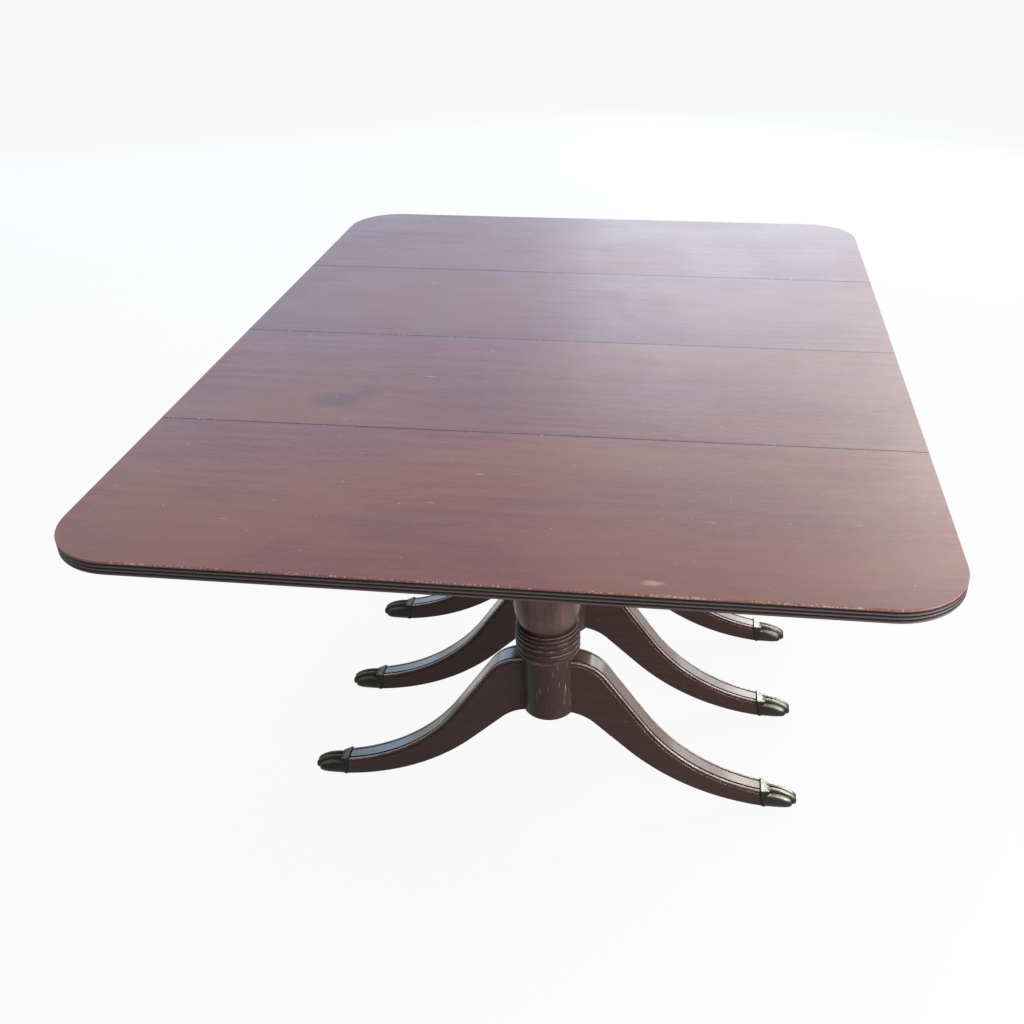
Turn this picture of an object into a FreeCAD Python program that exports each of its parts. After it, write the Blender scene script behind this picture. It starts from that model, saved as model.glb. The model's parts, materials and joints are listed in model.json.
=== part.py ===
"""Drop-leaf extension dining table on three two-legged pedestals, one solid file per piece.

Millimetres, +Z up, origin on the floor under the centre of the top, -Y towards the front leaf.
Pieces of the front half are drawn first; the rear half is the same drawing mirrored in Y.
"""
import math
import os

import FreeCAD
import Part

Vector = FreeCAD.Vector

# Overall sizes
TABLE_WIDTH = 1054.0
TABLE_HEIGHT = 752.0
HALF_DEPTH = 330.0
LEAF_DEPTH = 356.0
TOP_THICKNESS = 19.0
CORNER_RADIUS = 91.0
PEDESTAL_SPACING = 233.0
FEET_SPAN = 862.0
EXTENSION_TRAVEL = 305.0

# Top boards: reeded edge, centre seam and rule joint
REED_COUNT = 4
REED_ROUND = 2.1
ARRIS_ROUND = 0.9
SEAM_GAP = 0.6
LIP_GAP = 0.8
HINGE_RISE = 3.0
RULE_QUIRK = 3.0
RULE_CLEARANCE = 0.6

# Rule-joint hinges
HINGE_SPACING = 400.0
HINGE_WIDTH = 45.0
HINGE_PLATE = 2.0
HINGE_BARREL = 3.0
HINGE_PIN = 1.2
HINGE_RELIEF = 3.6
FIXED_FLAP = 40.0
LEAF_FLAP = 62.0
KNUCKLE_GAP = 0.3

# Screws
SCREW_HEAD = 3.1
SCREW_SHANK = 1.5
SCREW_LENGTH = 12.0
HINGE_SCREW_INSET = 9.0
FIXED_SCREW_SETBACK = 12.0
LEAF_SCREW_SETBACK = 10.0
LEAF_SCREW_STAGGER = 26.0
GUIDE_SCREW_NEAR = 22.0
GUIDE_SCREW_FAR = 88.0
BRACKET_SCREW_SPREAD = 11.0
SLIDE_SCREW_YS = (-150.0, -60.0)
BOLT_BITE = 12.0
SLIDE_BOLT_SINK = 14.0
BEARER_BOLT_SPREAD = 26.0
BOLT_HEAD = 4.5
BOLT_HEAD_HEIGHT = 3.0
BOLT_SHANK = 2.2
FIT = 0.05

# Leaf stays: an arm pivoted on the leaf whose pin runs in a curved slot under the half
STAY_X = 300.0
STAY_PIVOT_OUT = 140.0
STAY_PIVOT_DROP = 14.0
STAY_PIN_IN = 62.0
STAY_PIN_DROP = 22.0
STAY_RATIO = 0.575
LEAF_DROP = math.radians(90.0)
STAY_PIN_RADIUS = 3.0
STAY_HEAD_RADIUS = 5.0
STAY_HEAD_HEIGHT = 2.0
SLOT_CLEARANCE = 0.3
GUIDE_THICKNESS = 3.0
ARM_THICKNESS = 4.0
ARM_HALF_WIDTH = 7.0
STAY_GAP = 0.5
EAR_THICKNESS = 2.0
FLANGE_WIDTH = 22.0
SLOT_STATIONS = 9
GUIDE_MARGIN = 10.0
GUIDE_CORNER_DROP = 14.0
GUIDE_CORNER_RUN = 30.0
GUIDE_FLANGE_SETBACK = 6.0
EAR_RADIUS = 9.0
BRACKET_HALF_LENGTH = 19.0

# Frame under the top
APRON_INSET = 60.0
APRON_THICKNESS = 20.0
APRON_HEIGHT = 60.0
END_RAIL_SETBACK = 30.0
END_RAIL_HEIGHT = 55.0
NOTCH_SIDE_GAP = 2.5
NOTCH_HEAD_GAP = 4.0

# Extension slides
SLIDE_CENTRE_X = 170.0
SLIDE_WIDTH = 24.0
SLIDE_HEIGHT = 40.0
SLIDE_GAP = 0.6
SLIDE_RELIEF = 3.0
SLIDE_END_GAP = 2.0
GROOVE_DEPTH = 8.0
GROOVE_HEIGHT = 10.0
GROOVE_END = 10.0
TONGUE_CLEARANCE = 0.3
TONGUE_TIP_GAP = 1.0
PAD_SETBACK = 6.0

# Bearers
BEARER_HALF_LENGTH = 216.0
BEARER_HALF_DEPTH = 42.0
BEARER_THICKNESS = 32.0
BEARER_CHAMFER = 16.0

# Columns
COLUMN_BOTTOM = 187.5
COLUMN_FOOT_RADIUS = 44.5
RING_BOTTOM = 309.0
RING_COUNT = 6
RING_HEIGHT = 9.5
RING_GRADE = 0.5
RING_CREST = 53.0
RING_DEPTH = 2.2
RING_BARREL = 7.0
RING_SWELL = 0.3
RIDGE_SHARE = 0.17
RIDGE_CROWN = 0.35
VASE_NECK = 46.6
VASE_RADIUS = 54.0
FOOT_CHAMFER = 2.0
NECK_HEIGHT = 1.2
VASE_SWELL_RISE = 14.0
VASE_SWELL_INSET = 3.2
VASE_CREST_RISE = 58.0
VASE_TAPER_DROP = 166.0
VASE_TAPER_INSET = 4.0
VASE_WAIST_DROP = 110.0
VASE_WAIST_INSET = 13.0
VASE_TOP_INSET = 19.0
ASTRAGAL_DROP = 62.0
ASTRAGAL_HEIGHT = 10.0
ASTRAGAL_STEP = 3.0
CAP_HEIGHT = 18.0
CAP_FLARE = 10.0
CAP_COVE_RISE = 20.0
CAP_COVE_FLARE = 2.5
TENON_RADIUS = 18.0
TENON_LENGTH = 30.0

# Legs
LEG_ROOT_THICKNESS = 42.0
LEG_FOOT_THICKNESS = 30.5
LEG_ROOT = 30.0
LEG_TOP = 295.0
LEG_BOTTOM = 189.0
LEG_START = 40.0
TOP_SHOULDER = 70.0
TOP_SLOPE = math.radians(55.6)
TOP_END_SLOPE = math.radians(11.0)
LOW_START_SLOPE = math.radians(11.0)
LOW_SHOULDER = 75.0
LOW_SLOPE = math.radians(44.4)
LOW_END_SLOPE = math.radians(6.5)
LEG_END_TOP = 35.0
LEG_END_BOTTOM = 0.5
EDGE_BEAD = 4.5
BEAD_GROOVE = 2.4
GROOVE_SINK = 1.6
BEAD_ROUND = 1.7
BEAD_LAP = 1.5
DOWEL_RADIUS = 5.0
DOWEL_REACH = 25.0
DOWEL_HEIGHTS = (216.0, 262.0)

# Paws
PAW_LENGTH = 65.0
PAW_HALF_WIDTH = 16.2
TOE_HALF_WIDTH = 18.6
END_SLANT = 6.0
STUB_LENGTH = 30.0
STUB_ROOT = 4.0
STUB_HALF_WIDTH = 11.0
STUB_BOTTOM = 7.0
STUB_TOP = 26.0
STUB_FIT = 0.1
PAW_JOINT_GAP = 0.1
PAW_PROUD = 1.2
PAW_INSTEP_RUN = 26.0
PAW_INSTEP_SINK = 1.0
PAW_KNUCKLE_RUN = 13.0
PAW_KNUCKLE_HEIGHT = 27.0
PAW_TIP_HEIGHT = 10.0
PAW_NAIL_RUN = 1.6
PAW_NAIL_HEIGHT = 3.6
PAW_SOLE_SETBACK = 7.0
PAW_SOCKET_RUN = 18.0
PAW_TOE_RUN = 38.0
TOE_GROOVE_RUN = 30.0
TOE_GROOVE_FLOOR = 1.5
TOE_GROOVE_SPACING = 9.5
TOE_GROOVE_HALF_WIDTH = 0.9
TOE_GROOVE_DEPTH = 2.2

# Alignment dowels in the centre seam
SEAM_DOWEL_SPACING = 360.0
SEAM_DOWEL_RADIUS = 4.0
SEAM_DOWEL_REACH = 18.0
SEAM_DOWEL_END_GAP = 2.0

# Levels and lines that follow from the sizes above
HALF_WIDTH = TABLE_WIDTH / 2.0
UNDERSIDE = TABLE_HEIGHT - TOP_THICKNESS
REED_PITCH = TOP_THICKNESS / REED_COUNT
AXIS_Y = -HALF_DEPTH
AXIS_Z = UNDERSIDE + HINGE_RISE
RULE_RADIUS = TOP_THICKNESS - HINGE_RISE - RULE_QUIRK
COVE_RADIUS = RULE_RADIUS + RULE_CLEARANCE
SLIDE_TOP = UNDERSIDE - SLIDE_RELIEF
SLIDE_BOTTOM = SLIDE_TOP - SLIDE_HEIGHT
SLIDE_STEP = SLIDE_WIDTH + SLIDE_GAP
BEARER_TOP = SLIDE_BOTTOM - SLIDE_RELIEF
BEARER_BOTTOM = BEARER_TOP - BEARER_THICKNESS
TOE_TIP = FEET_SPAN / 2.0
LEG_END = TOE_TIP - PAW_LENGTH
END_RAIL_OUTER = AXIS_Y + END_RAIL_SETBACK
END_RAIL_INNER = END_RAIL_OUTER + APRON_THICKNESS
SLIDE_REACH = -END_RAIL_INNER - SLIDE_END_GAP
APRON_OUTER = HALF_WIDTH - APRON_INSET
APRON_INNER = APRON_OUTER - APRON_THICKNESS
HINGE_XS = (-HINGE_SPACING, 0.0, HINGE_SPACING)
SLIDE_XS = {
    "front": SLIDE_CENTRE_X + SLIDE_STEP,
    "centre": SLIDE_CENTRE_X,
    "rear": SLIDE_CENTRE_X - SLIDE_STEP,
}
PEDESTAL_YS = {"front": -PEDESTAL_SPACING, "centre": 0.0, "rear": PEDESTAL_SPACING}

pieces = {}


def box(x0, x1, y0, y1, z0, z1):
    """Box between two corners."""
    return Part.makeBox(x1 - x0, y1 - y0, z1 - z0, Vector(x0, y0, z0))


def rod_x(x0, x1, y, z, radius):
    """Cylinder along X."""
    return Part.makeCylinder(radius, x1 - x0, Vector(x0, y, z), Vector(1, 0, 0))


def rod_y(y0, y1, x, z, radius):
    """Cylinder along Y."""
    return Part.makeCylinder(radius, y1 - y0, Vector(x, y0, z), Vector(0, 1, 0))


def rod_z(z0, z1, x, y, radius):
    """Cylinder along Z."""
    return Part.makeCylinder(radius, z1 - z0, Vector(x, y, z0), Vector(0, 0, 1))


def mirrored_x(shape):
    """Copy on the other side of the YZ plane."""
    return shape.mirror(Vector(0, 0, 0), Vector(1, 0, 0))


def mirrored_y(shape):
    """Copy on the other side of the XZ plane."""
    return shape.mirror(Vector(0, 0, 0), Vector(0, 1, 0))


def moved(shape, x, y, z):
    """Copy shifted by a vector."""
    copy = shape.copy()
    copy.translate(Vector(x, y, z))
    return copy


def fused(shapes):
    """One solid from shapes that touch."""
    return shapes[0].multiFuse(shapes[1:]).removeSplitter()


def both_sides(shape):
    """The shape and its mirror image in X as separate solids."""
    return [shape, mirrored_x(shape)]


def line(start, end):
    """Straight edge."""
    return Part.LineSegment(start, end).toShape()


def arc(start, middle, end):
    """Arc edge through three points."""
    return Part.Arc(start, middle, end).toShape()


def face_of(edges):
    """Flat face inside a closed chain of edges."""
    return Part.Face(Part.Wire(Part.__sortEdges__(edges)))


def wood_screw(x, y, clearance=0.0):
    """Countersunk screw driven up through a plate that lies flush with the underside."""
    head = Part.makeCone(
        SCREW_HEAD + clearance,
        SCREW_SHANK + clearance,
        HINGE_PLATE,
        Vector(x, y, UNDERSIDE),
        Vector(0, 0, 1),
    )
    shank = rod_z(UNDERSIDE, UNDERSIDE + SCREW_LENGTH + clearance, x, y, SCREW_SHANK + clearance)
    return fused([head, shank])


def bolt(x, y, z_head, z_tip, clearance=0.0):
    """Round-headed screw driven up from a counterbore."""
    head = rod_z(z_head, z_head + BOLT_HEAD_HEIGHT, x, y, BOLT_HEAD + clearance)
    shank = rod_z(z_head, z_tip + clearance, x, y, BOLT_SHANK + clearance)
    return fused([head, shank])


def reeded_slab(outline, plain_lines):
    """Board whose edge is a stack of rounded layers; edges on the plain lines stay square."""
    layers = []
    for index in range(REED_COUNT):
        bottom = UNDERSIDE + index * REED_PITCH
        layer = moved(outline.extrude(Vector(0, 0, REED_PITCH)), 0, 0, bottom)
        is_top_layer = index == REED_COUNT - 1
        for level, radius in (
            (bottom, REED_ROUND),
            (bottom + REED_PITCH, ARRIS_ROUND if is_top_layer else REED_ROUND),
        ):
            rim = []
            for edge in layer.Edges:
                bounds = edge.BoundBox
                at_level = abs(bounds.ZMin - level) < 0.01 and abs(bounds.ZMax - level) < 0.01
                on_plain_line = bounds.YLength < 0.01 and any(
                    abs(bounds.YMin - plain) < 0.01 for plain in plain_lines
                )
                if at_level and not on_plain_line:
                    rim.append(edge)
            layer = layer.makeFillet(radius, rim)
        layers.append(layer)
    return fused(layers)


def hinge_plate_screw_spots(x):
    """Screw centres of one hinge: on the half and on the leaf."""
    inset = HINGE_WIDTH / 2.0 - HINGE_SCREW_INSET
    fixed_y = AXIS_Y + FIXED_FLAP - FIXED_SCREW_SETBACK
    leaf_y = AXIS_Y - LEAF_FLAP + LEAF_SCREW_SETBACK
    fixed = [(x - inset, fixed_y), (x + inset, fixed_y)]
    leaf = [(x - inset, leaf_y), (x + inset, leaf_y), (x, AXIS_Y - LEAF_FLAP + LEAF_SCREW_STAGGER)]
    return fixed, leaf


def hinge_plates(x):
    """The two flaps of one hinge with their knuckles and the pin between them."""
    half = HINGE_WIDTH / 2.0
    side_knuckle = HINGE_WIDTH / 3.0
    plate_top = UNDERSIDE + HINGE_PLATE
    bore = rod_x(x - half - 1, x + half + 1, AXIS_Y, AXIS_Z, HINGE_PIN + FIT)
    fixed_spots, leaf_spots = hinge_plate_screw_spots(x)

    fixed = [box(x - half, x + half, AXIS_Y + HINGE_RELIEF, AXIS_Y + FIXED_FLAP, UNDERSIDE, plate_top)]
    for x0, x1 in ((x - half, x - half + side_knuckle), (x + half - side_knuckle, x + half)):
        fixed.append(rod_x(x0, x1, AXIS_Y, AXIS_Z, HINGE_BARREL))
        fixed.append(box(x0, x1, AXIS_Y, AXIS_Y + HINGE_RELIEF, UNDERSIDE, plate_top))
    fixed_flap = fused(fixed).cut([bore] + [wood_screw(sx, sy, FIT) for sx, sy in fixed_spots])

    x0 = x - half + side_knuckle + KNUCKLE_GAP
    x1 = x + half - side_knuckle - KNUCKLE_GAP
    leaf = [
        box(x - half, x + half, AXIS_Y - LEAF_FLAP, AXIS_Y - HINGE_RELIEF, UNDERSIDE, plate_top),
        rod_x(x0, x1, AXIS_Y, AXIS_Z, HINGE_BARREL),
        box(x0, x1, AXIS_Y - HINGE_RELIEF, AXIS_Y, UNDERSIDE, plate_top),
    ]
    leaf_flap = fused(leaf).cut([bore] + [wood_screw(sx, sy, FIT) for sx, sy in leaf_spots])
    pin = rod_x(x - half, x + half, AXIS_Y, AXIS_Z, HINGE_PIN)
    return fixed_flap, leaf_flap, pin


def hinge_recesses_in_half(x):
    """Wood removed from a half for one hinge: flap bed, knuckle groove and passage of the leaf flap."""
    half = HINGE_WIDTH / 2.0
    low = UNDERSIDE - 1.0
    plate_top = UNDERSIDE + HINGE_PLATE
    wide = half + KNUCKLE_GAP
    return [
        box(x - half - FIT, x + half + FIT, AXIS_Y, AXIS_Y + FIXED_FLAP + FIT, low, plate_top),
        rod_x(x - wide, x + wide, AXIS_Y, AXIS_Z, HINGE_RELIEF),
        box(x - wide, x + wide, AXIS_Y - HINGE_RELIEF, AXIS_Y + HINGE_RELIEF, low, AXIS_Z),
        box(x - wide, x + wide, AXIS_Y - COVE_RADIUS, AXIS_Y, low, plate_top + KNUCKLE_GAP),
    ]


def hinge_recess_in_leaf(x):
    """Wood removed from a leaf for the long flap of one hinge."""
    half = HINGE_WIDTH / 2.0 + FIT
    y0 = AXIS_Y - LEAF_FLAP - FIT
    return box(x - half, x + half, y0, AXIS_Y, UNDERSIDE - 1.0, UNDERSIDE + HINGE_PLATE)


def slide_screw_spots(side):
    """Screws that hold the slides of one half to the top, in front coordinates."""
    x = SLIDE_XS[side]
    return [(sign * x, y) for sign in (-1, 1) for y in SLIDE_SCREW_YS]


def guide_screw_spots():
    """Screws of the two stay guides, in front coordinates."""
    x = STAY_X - FLANGE_WIDTH / 2.0
    ys = (AXIS_Y + STAY_PIN_IN + GUIDE_SCREW_NEAR, AXIS_Y + STAY_PIN_IN + GUIDE_SCREW_FAR)
    return [(sign * x, y) for sign in (-1, 1) for y in ys]


def bracket_screw_spots():
    """Screws of the two stay brackets under a leaf."""
    x = STAY_X + GUIDE_THICKNESS + ARM_THICKNESS + 2 * STAY_GAP + FLANGE_WIDTH / 2.0 + EAR_THICKNESS / 2.0
    y = AXIS_Y - STAY_PIVOT_OUT
    ys = (y - BRACKET_SCREW_SPREAD, y + BRACKET_SCREW_SPREAD)
    return [(sign * x, screw_y) for sign in (-1, 1) for screw_y in ys]


def flange_screw(x, y, clearance=0.0):
    """Countersunk screw through a flange that lies under the board."""
    return moved(wood_screw(x, y, clearance), 0, 0, -HINGE_PLATE)


def seam_dowel_hole(x):
    """Hole for one alignment dowel in the seam face of a half."""
    z = UNDERSIDE + TOP_THICKNESS / 2.0
    return rod_y(-SEAM_DOWEL_REACH - SEAM_DOWEL_END_GAP, 0.0, x, z, SEAM_DOWEL_RADIUS + 2 * FIT)


def half_top(side):
    """Fixed board with the rounded member of the rule joint along its outer edge."""
    back = -SEAM_GAP / 2.0
    front = AXIS_Y - RULE_RADIUS
    corners = [
        Vector(-HALF_WIDTH, front, 0),
        Vector(HALF_WIDTH, front, 0),
        Vector(HALF_WIDTH, back, 0),
        Vector(-HALF_WIDTH, back, 0),
    ]
    outline = Part.Face(Part.makePolygon(corners + corners[:1]))
    slab = reeded_slab(outline, (front, back))
    kept = fused([
        box(-HALF_WIDTH, HALF_WIDTH, AXIS_Y, back, UNDERSIDE, TABLE_HEIGHT),
        rod_x(-HALF_WIDTH, HALF_WIDTH, AXIS_Y, AXIS_Z, RULE_RADIUS),
    ])
    cuts = []
    for x in HINGE_XS:
        cuts.extend(hinge_recesses_in_half(x))
        fixed_spots, leaf_spots = hinge_plate_screw_spots(x)
        cuts.extend(wood_screw(sx, sy, FIT) for sx, sy in fixed_spots)
    for x, y in guide_screw_spots():
        cuts.append(flange_screw(x, y, FIT))
    for x, y in slide_screw_spots(side):
        cuts.append(slide_bolt(x, y, FIT))
    for x in (-SEAM_DOWEL_SPACING, 0.0, SEAM_DOWEL_SPACING):
        cuts.append(seam_dowel_hole(x))
    return slab.common(kept).cut(cuts)


def leaf_top():
    """Drop leaf with rounded corners and the hollow member of the rule joint."""
    inner = AXIS_Y - LIP_GAP
    outer = AXIS_Y - LEAF_DEPTH
    r = CORNER_RADIUS
    w = HALF_WIDTH
    d = r * (1.0 - math.sqrt(0.5))
    edges = [
        line(Vector(-w, inner, 0), Vector(-w, outer + r, 0)),
        arc(Vector(-w, outer + r, 0), Vector(-w + d, outer + d, 0), Vector(-w + r, outer, 0)),
        line(Vector(-w + r, outer, 0), Vector(w - r, outer, 0)),
        arc(Vector(w - r, outer, 0), Vector(w - d, outer + d, 0), Vector(w, outer + r, 0)),
        line(Vector(w, outer + r, 0), Vector(w, inner, 0)),
        line(Vector(w, inner, 0), Vector(-w, inner, 0)),
    ]
    slab = reeded_slab(face_of(edges), (inner,))
    cuts = [rod_x(-w - 1, w + 1, AXIS_Y, AXIS_Z, COVE_RADIUS)]
    for x in HINGE_XS:
        cuts.append(hinge_recess_in_leaf(x))
        fixed_spots, leaf_spots = hinge_plate_screw_spots(x)
        cuts.extend(wood_screw(sx, sy, FIT) for sx, sy in leaf_spots)
    for x, y in bracket_screw_spots():
        cuts.append(flange_screw(x, y, FIT))
    return slab.cut(cuts)


def stay_pivot():
    """Pivot of the stay on the leaf, as Y and Z with the leaf up."""
    return AXIS_Y - STAY_PIVOT_OUT, AXIS_Z - STAY_PIVOT_DROP


def stay_pin_at(drop):
    """Place of the running pin, as Y and Z, when the leaf has dropped by an angle."""
    reach_out = -STAY_PIN_IN - STAY_PIVOT_OUT
    reach_up = STAY_PIVOT_DROP - STAY_PIN_DROP
    turn = STAY_RATIO * drop
    out = STAY_PIVOT_OUT + reach_out * math.cos(turn) - reach_up * math.sin(turn)
    up = -STAY_PIVOT_DROP + reach_out * math.sin(turn) + reach_up * math.cos(turn)
    out_turned = out * math.cos(drop) + up * math.sin(drop)
    up_turned = -out * math.sin(drop) + up * math.cos(drop)
    return AXIS_Y - out_turned, AXIS_Z + up_turned


def slot_cutter(x0, x1):
    """Curved slot that the running pin follows, from the leaf up to the leaf down."""
    half = STAY_PIN_RADIUS + SLOT_CLEARANCE
    step = LEAF_DROP / (SLOT_STATIONS - 1)
    upper = []
    lower = []
    for index in range(SLOT_STATIONS):
        drop = index * step
        y, z = stay_pin_at(drop)
        y_next, z_next = stay_pin_at(drop + 0.001)
        y_last, z_last = stay_pin_at(drop - 0.001)
        length = math.hypot(y_next - y_last, z_next - z_last)
        normal_y = -(z_next - z_last) / length
        normal_z = (y_next - y_last) / length
        upper.append(Vector(x0, y + half * normal_y, z + half * normal_z))
        lower.append(Vector(x0, y - half * normal_y, z - half * normal_z))
    upper_curve = Part.BSplineCurve()
    upper_curve.interpolate(upper)
    lower_curve = Part.BSplineCurve()
    lower_curve.interpolate(lower)
    channel = face_of([
        upper_curve.toShape(),
        line(upper[-1], lower[-1]),
        lower_curve.toShape(),
        line(lower[0], upper[0]),
    ])
    ends = [rod_x(x0, x1, y, z, half) for y, z in (stay_pin_at(0.0), stay_pin_at(LEAF_DROP))]
    return fused([channel.extrude(Vector(x1 - x0, 0, 0))] + ends)


def stay_guide():
    """Right-hand slotted plate with a flange under the half."""
    x0 = STAY_X
    x1 = STAY_X + GUIDE_THICKNESS
    start_y, start_z = stay_pin_at(0.0)
    end_y, end_z = stay_pin_at(LEAF_DROP)
    low_z = stay_pin_at(LEAF_DROP / 2.0)[1] - GUIDE_MARGIN
    near = start_y - GUIDE_MARGIN
    far = end_y + GUIDE_MARGIN
    corners = [
        Vector(x0, near, UNDERSIDE),
        Vector(x0, near, start_z - GUIDE_CORNER_DROP),
        Vector(x0, near + GUIDE_CORNER_RUN, low_z),
        Vector(x0, far - GUIDE_CORNER_RUN, low_z),
        Vector(x0, far, end_z - GUIDE_CORNER_DROP),
        Vector(x0, far, UNDERSIDE),
    ]
    web = Part.Face(Part.makePolygon(corners + corners[:1])).extrude(Vector(x1 - x0, 0, 0))
    flange_ys = (near + GUIDE_FLANGE_SETBACK, far - GUIDE_FLANGE_SETBACK)
    flange = box(x0 - FLANGE_WIDTH, x0, flange_ys[0], flange_ys[1], UNDERSIDE - HINGE_PLATE, UNDERSIDE)
    plate = fused([web, flange]).cut(slot_cutter(x0 - 1.0, x1 + 1.0))
    return plate.cut([flange_screw(x, y, FIT) for x, y in guide_screw_spots() if x > 0])


def stay_arm():
    """Right-hand flat arm from the leaf pivot to the running pin."""
    x0 = STAY_X + GUIDE_THICKNESS + STAY_GAP
    x1 = x0 + ARM_THICKNESS
    pivot_y, pivot_z = stay_pivot()
    pin_y, pin_z = stay_pin_at(0.0)
    length = math.hypot(pin_y - pivot_y, pin_z - pivot_z)
    normal_y = -(pin_z - pivot_z) / length * ARM_HALF_WIDTH
    normal_z = (pin_y - pivot_y) / length * ARM_HALF_WIDTH
    corners = [
        Vector(x0, pivot_y + normal_y, pivot_z + normal_z),
        Vector(x0, pin_y + normal_y, pin_z + normal_z),
        Vector(x0, pin_y - normal_y, pin_z - normal_z),
        Vector(x0, pivot_y - normal_y, pivot_z - normal_z),
    ]
    bar = Part.Face(Part.makePolygon(corners + corners[:1])).extrude(Vector(x1 - x0, 0, 0))
    ends = [rod_x(x0, x1, y, z, ARM_HALF_WIDTH) for y, z in ((pivot_y, pivot_z), (pin_y, pin_z))]
    holes = [
        rod_x(x0 - 1, x1 + 1, y, z, STAY_PIN_RADIUS + FIT) for y, z in ((pivot_y, pivot_z), (pin_y, pin_z))
    ]
    return fused([bar] + ends).cut(holes)


def headed_pin(x0, x1, y, z):
    """Rivet with a head on the outside of each of the two X faces it holds together."""
    shaft = rod_x(x0 - STAY_HEAD_HEIGHT, x1 + STAY_HEAD_HEIGHT, y, z, STAY_PIN_RADIUS)
    heads = [
        rod_x(x0 - STAY_HEAD_HEIGHT, x0, y, z, STAY_HEAD_RADIUS),
        rod_x(x1, x1 + STAY_HEAD_HEIGHT, y, z, STAY_HEAD_RADIUS),
    ]
    return fused([shaft] + heads)


def stay_pins():
    """Right-hand running pin and pivot rivet."""
    arm_x0 = STAY_X + GUIDE_THICKNESS + STAY_GAP
    arm_x1 = arm_x0 + ARM_THICKNESS
    pin_y, pin_z = stay_pin_at(0.0)
    pivot_y, pivot_z = stay_pivot()
    running = headed_pin(STAY_X - STAY_GAP, arm_x1, pin_y, pin_z)
    pivot = headed_pin(arm_x0, arm_x1 + 2 * STAY_GAP + EAR_THICKNESS, pivot_y, pivot_z)
    return [running, pivot]


def stay_bracket():
    """Right-hand angle bracket under the leaf with the ear that carries the pivot."""
    x0 = STAY_X + GUIDE_THICKNESS + ARM_THICKNESS + 2 * STAY_GAP
    x1 = x0 + EAR_THICKNESS
    y, z = stay_pivot()
    ear = fused([
        box(x0, x1, y - EAR_RADIUS, y + EAR_RADIUS, z, UNDERSIDE),
        rod_x(x0, x1, y, z, EAR_RADIUS),
    ])
    y0 = y - BRACKET_HALF_LENGTH
    y1 = y + BRACKET_HALF_LENGTH
    flange = box(x0, x0 + FLANGE_WIDTH, y0, y1, UNDERSIDE - HINGE_PLATE, UNDERSIDE)
    hole = rod_x(x0 - 1, x1 + 1, y, z, STAY_PIN_RADIUS + 2 * FIT)
    screws = [flange_screw(sx, sy, FIT) for sx, sy in bracket_screw_spots() if sx > 0]
    return fused([ear, flange]).cut([hole] + screws)


def end_rail():
    """Rail inside the hinge line, notched from below where the stay arms pass."""
    bottom = UNDERSIDE - END_RAIL_HEIGHT
    rail = box(-APRON_INNER, APRON_INNER, END_RAIL_OUTER, END_RAIL_INNER, bottom, UNDERSIDE)
    x0 = STAY_X + GUIDE_THICKNESS + STAY_GAP - NOTCH_SIDE_GAP
    x1 = x0 + ARM_THICKNESS + 2 * NOTCH_SIDE_GAP
    notch_top = AXIS_Z - STAY_PIN_DROP + ARM_HALF_WIDTH + NOTCH_HEAD_GAP
    notch = box(x0, x1, END_RAIL_OUTER - 1, END_RAIL_INNER + 1, bottom - 1, notch_top)
    return rail.cut(both_sides(notch))


def side_apron():
    """Right-hand apron of one half."""
    return box(
        APRON_INNER,
        APRON_OUTER,
        END_RAIL_OUTER,
        -SEAM_GAP / 2.0,
        UNDERSIDE - APRON_HEIGHT,
        UNDERSIDE,
    )


def slide_bolt(x, y, clearance=0.0):
    """Screw through a slide into the top."""
    return bolt(x, y, SLIDE_TOP - SLIDE_BOLT_SINK, UNDERSIDE + BOLT_BITE, clearance)


def bearer_bolt(x, y, clearance=0.0):
    """Screw through a bearer into a slide."""
    return bolt(x, y, BEARER_BOTTOM, SLIDE_BOTTOM + BOLT_BITE, clearance)


def bearer_bolt_spots(name):
    """Screw centres of one bearer."""
    x = SLIDE_XS[name]
    y = PEDESTAL_YS[name]
    return [(sign * x, y + shift) for sign in (-1, 1) for shift in (-BEARER_BOLT_SPREAD, BEARER_BOLT_SPREAD)]


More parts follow.
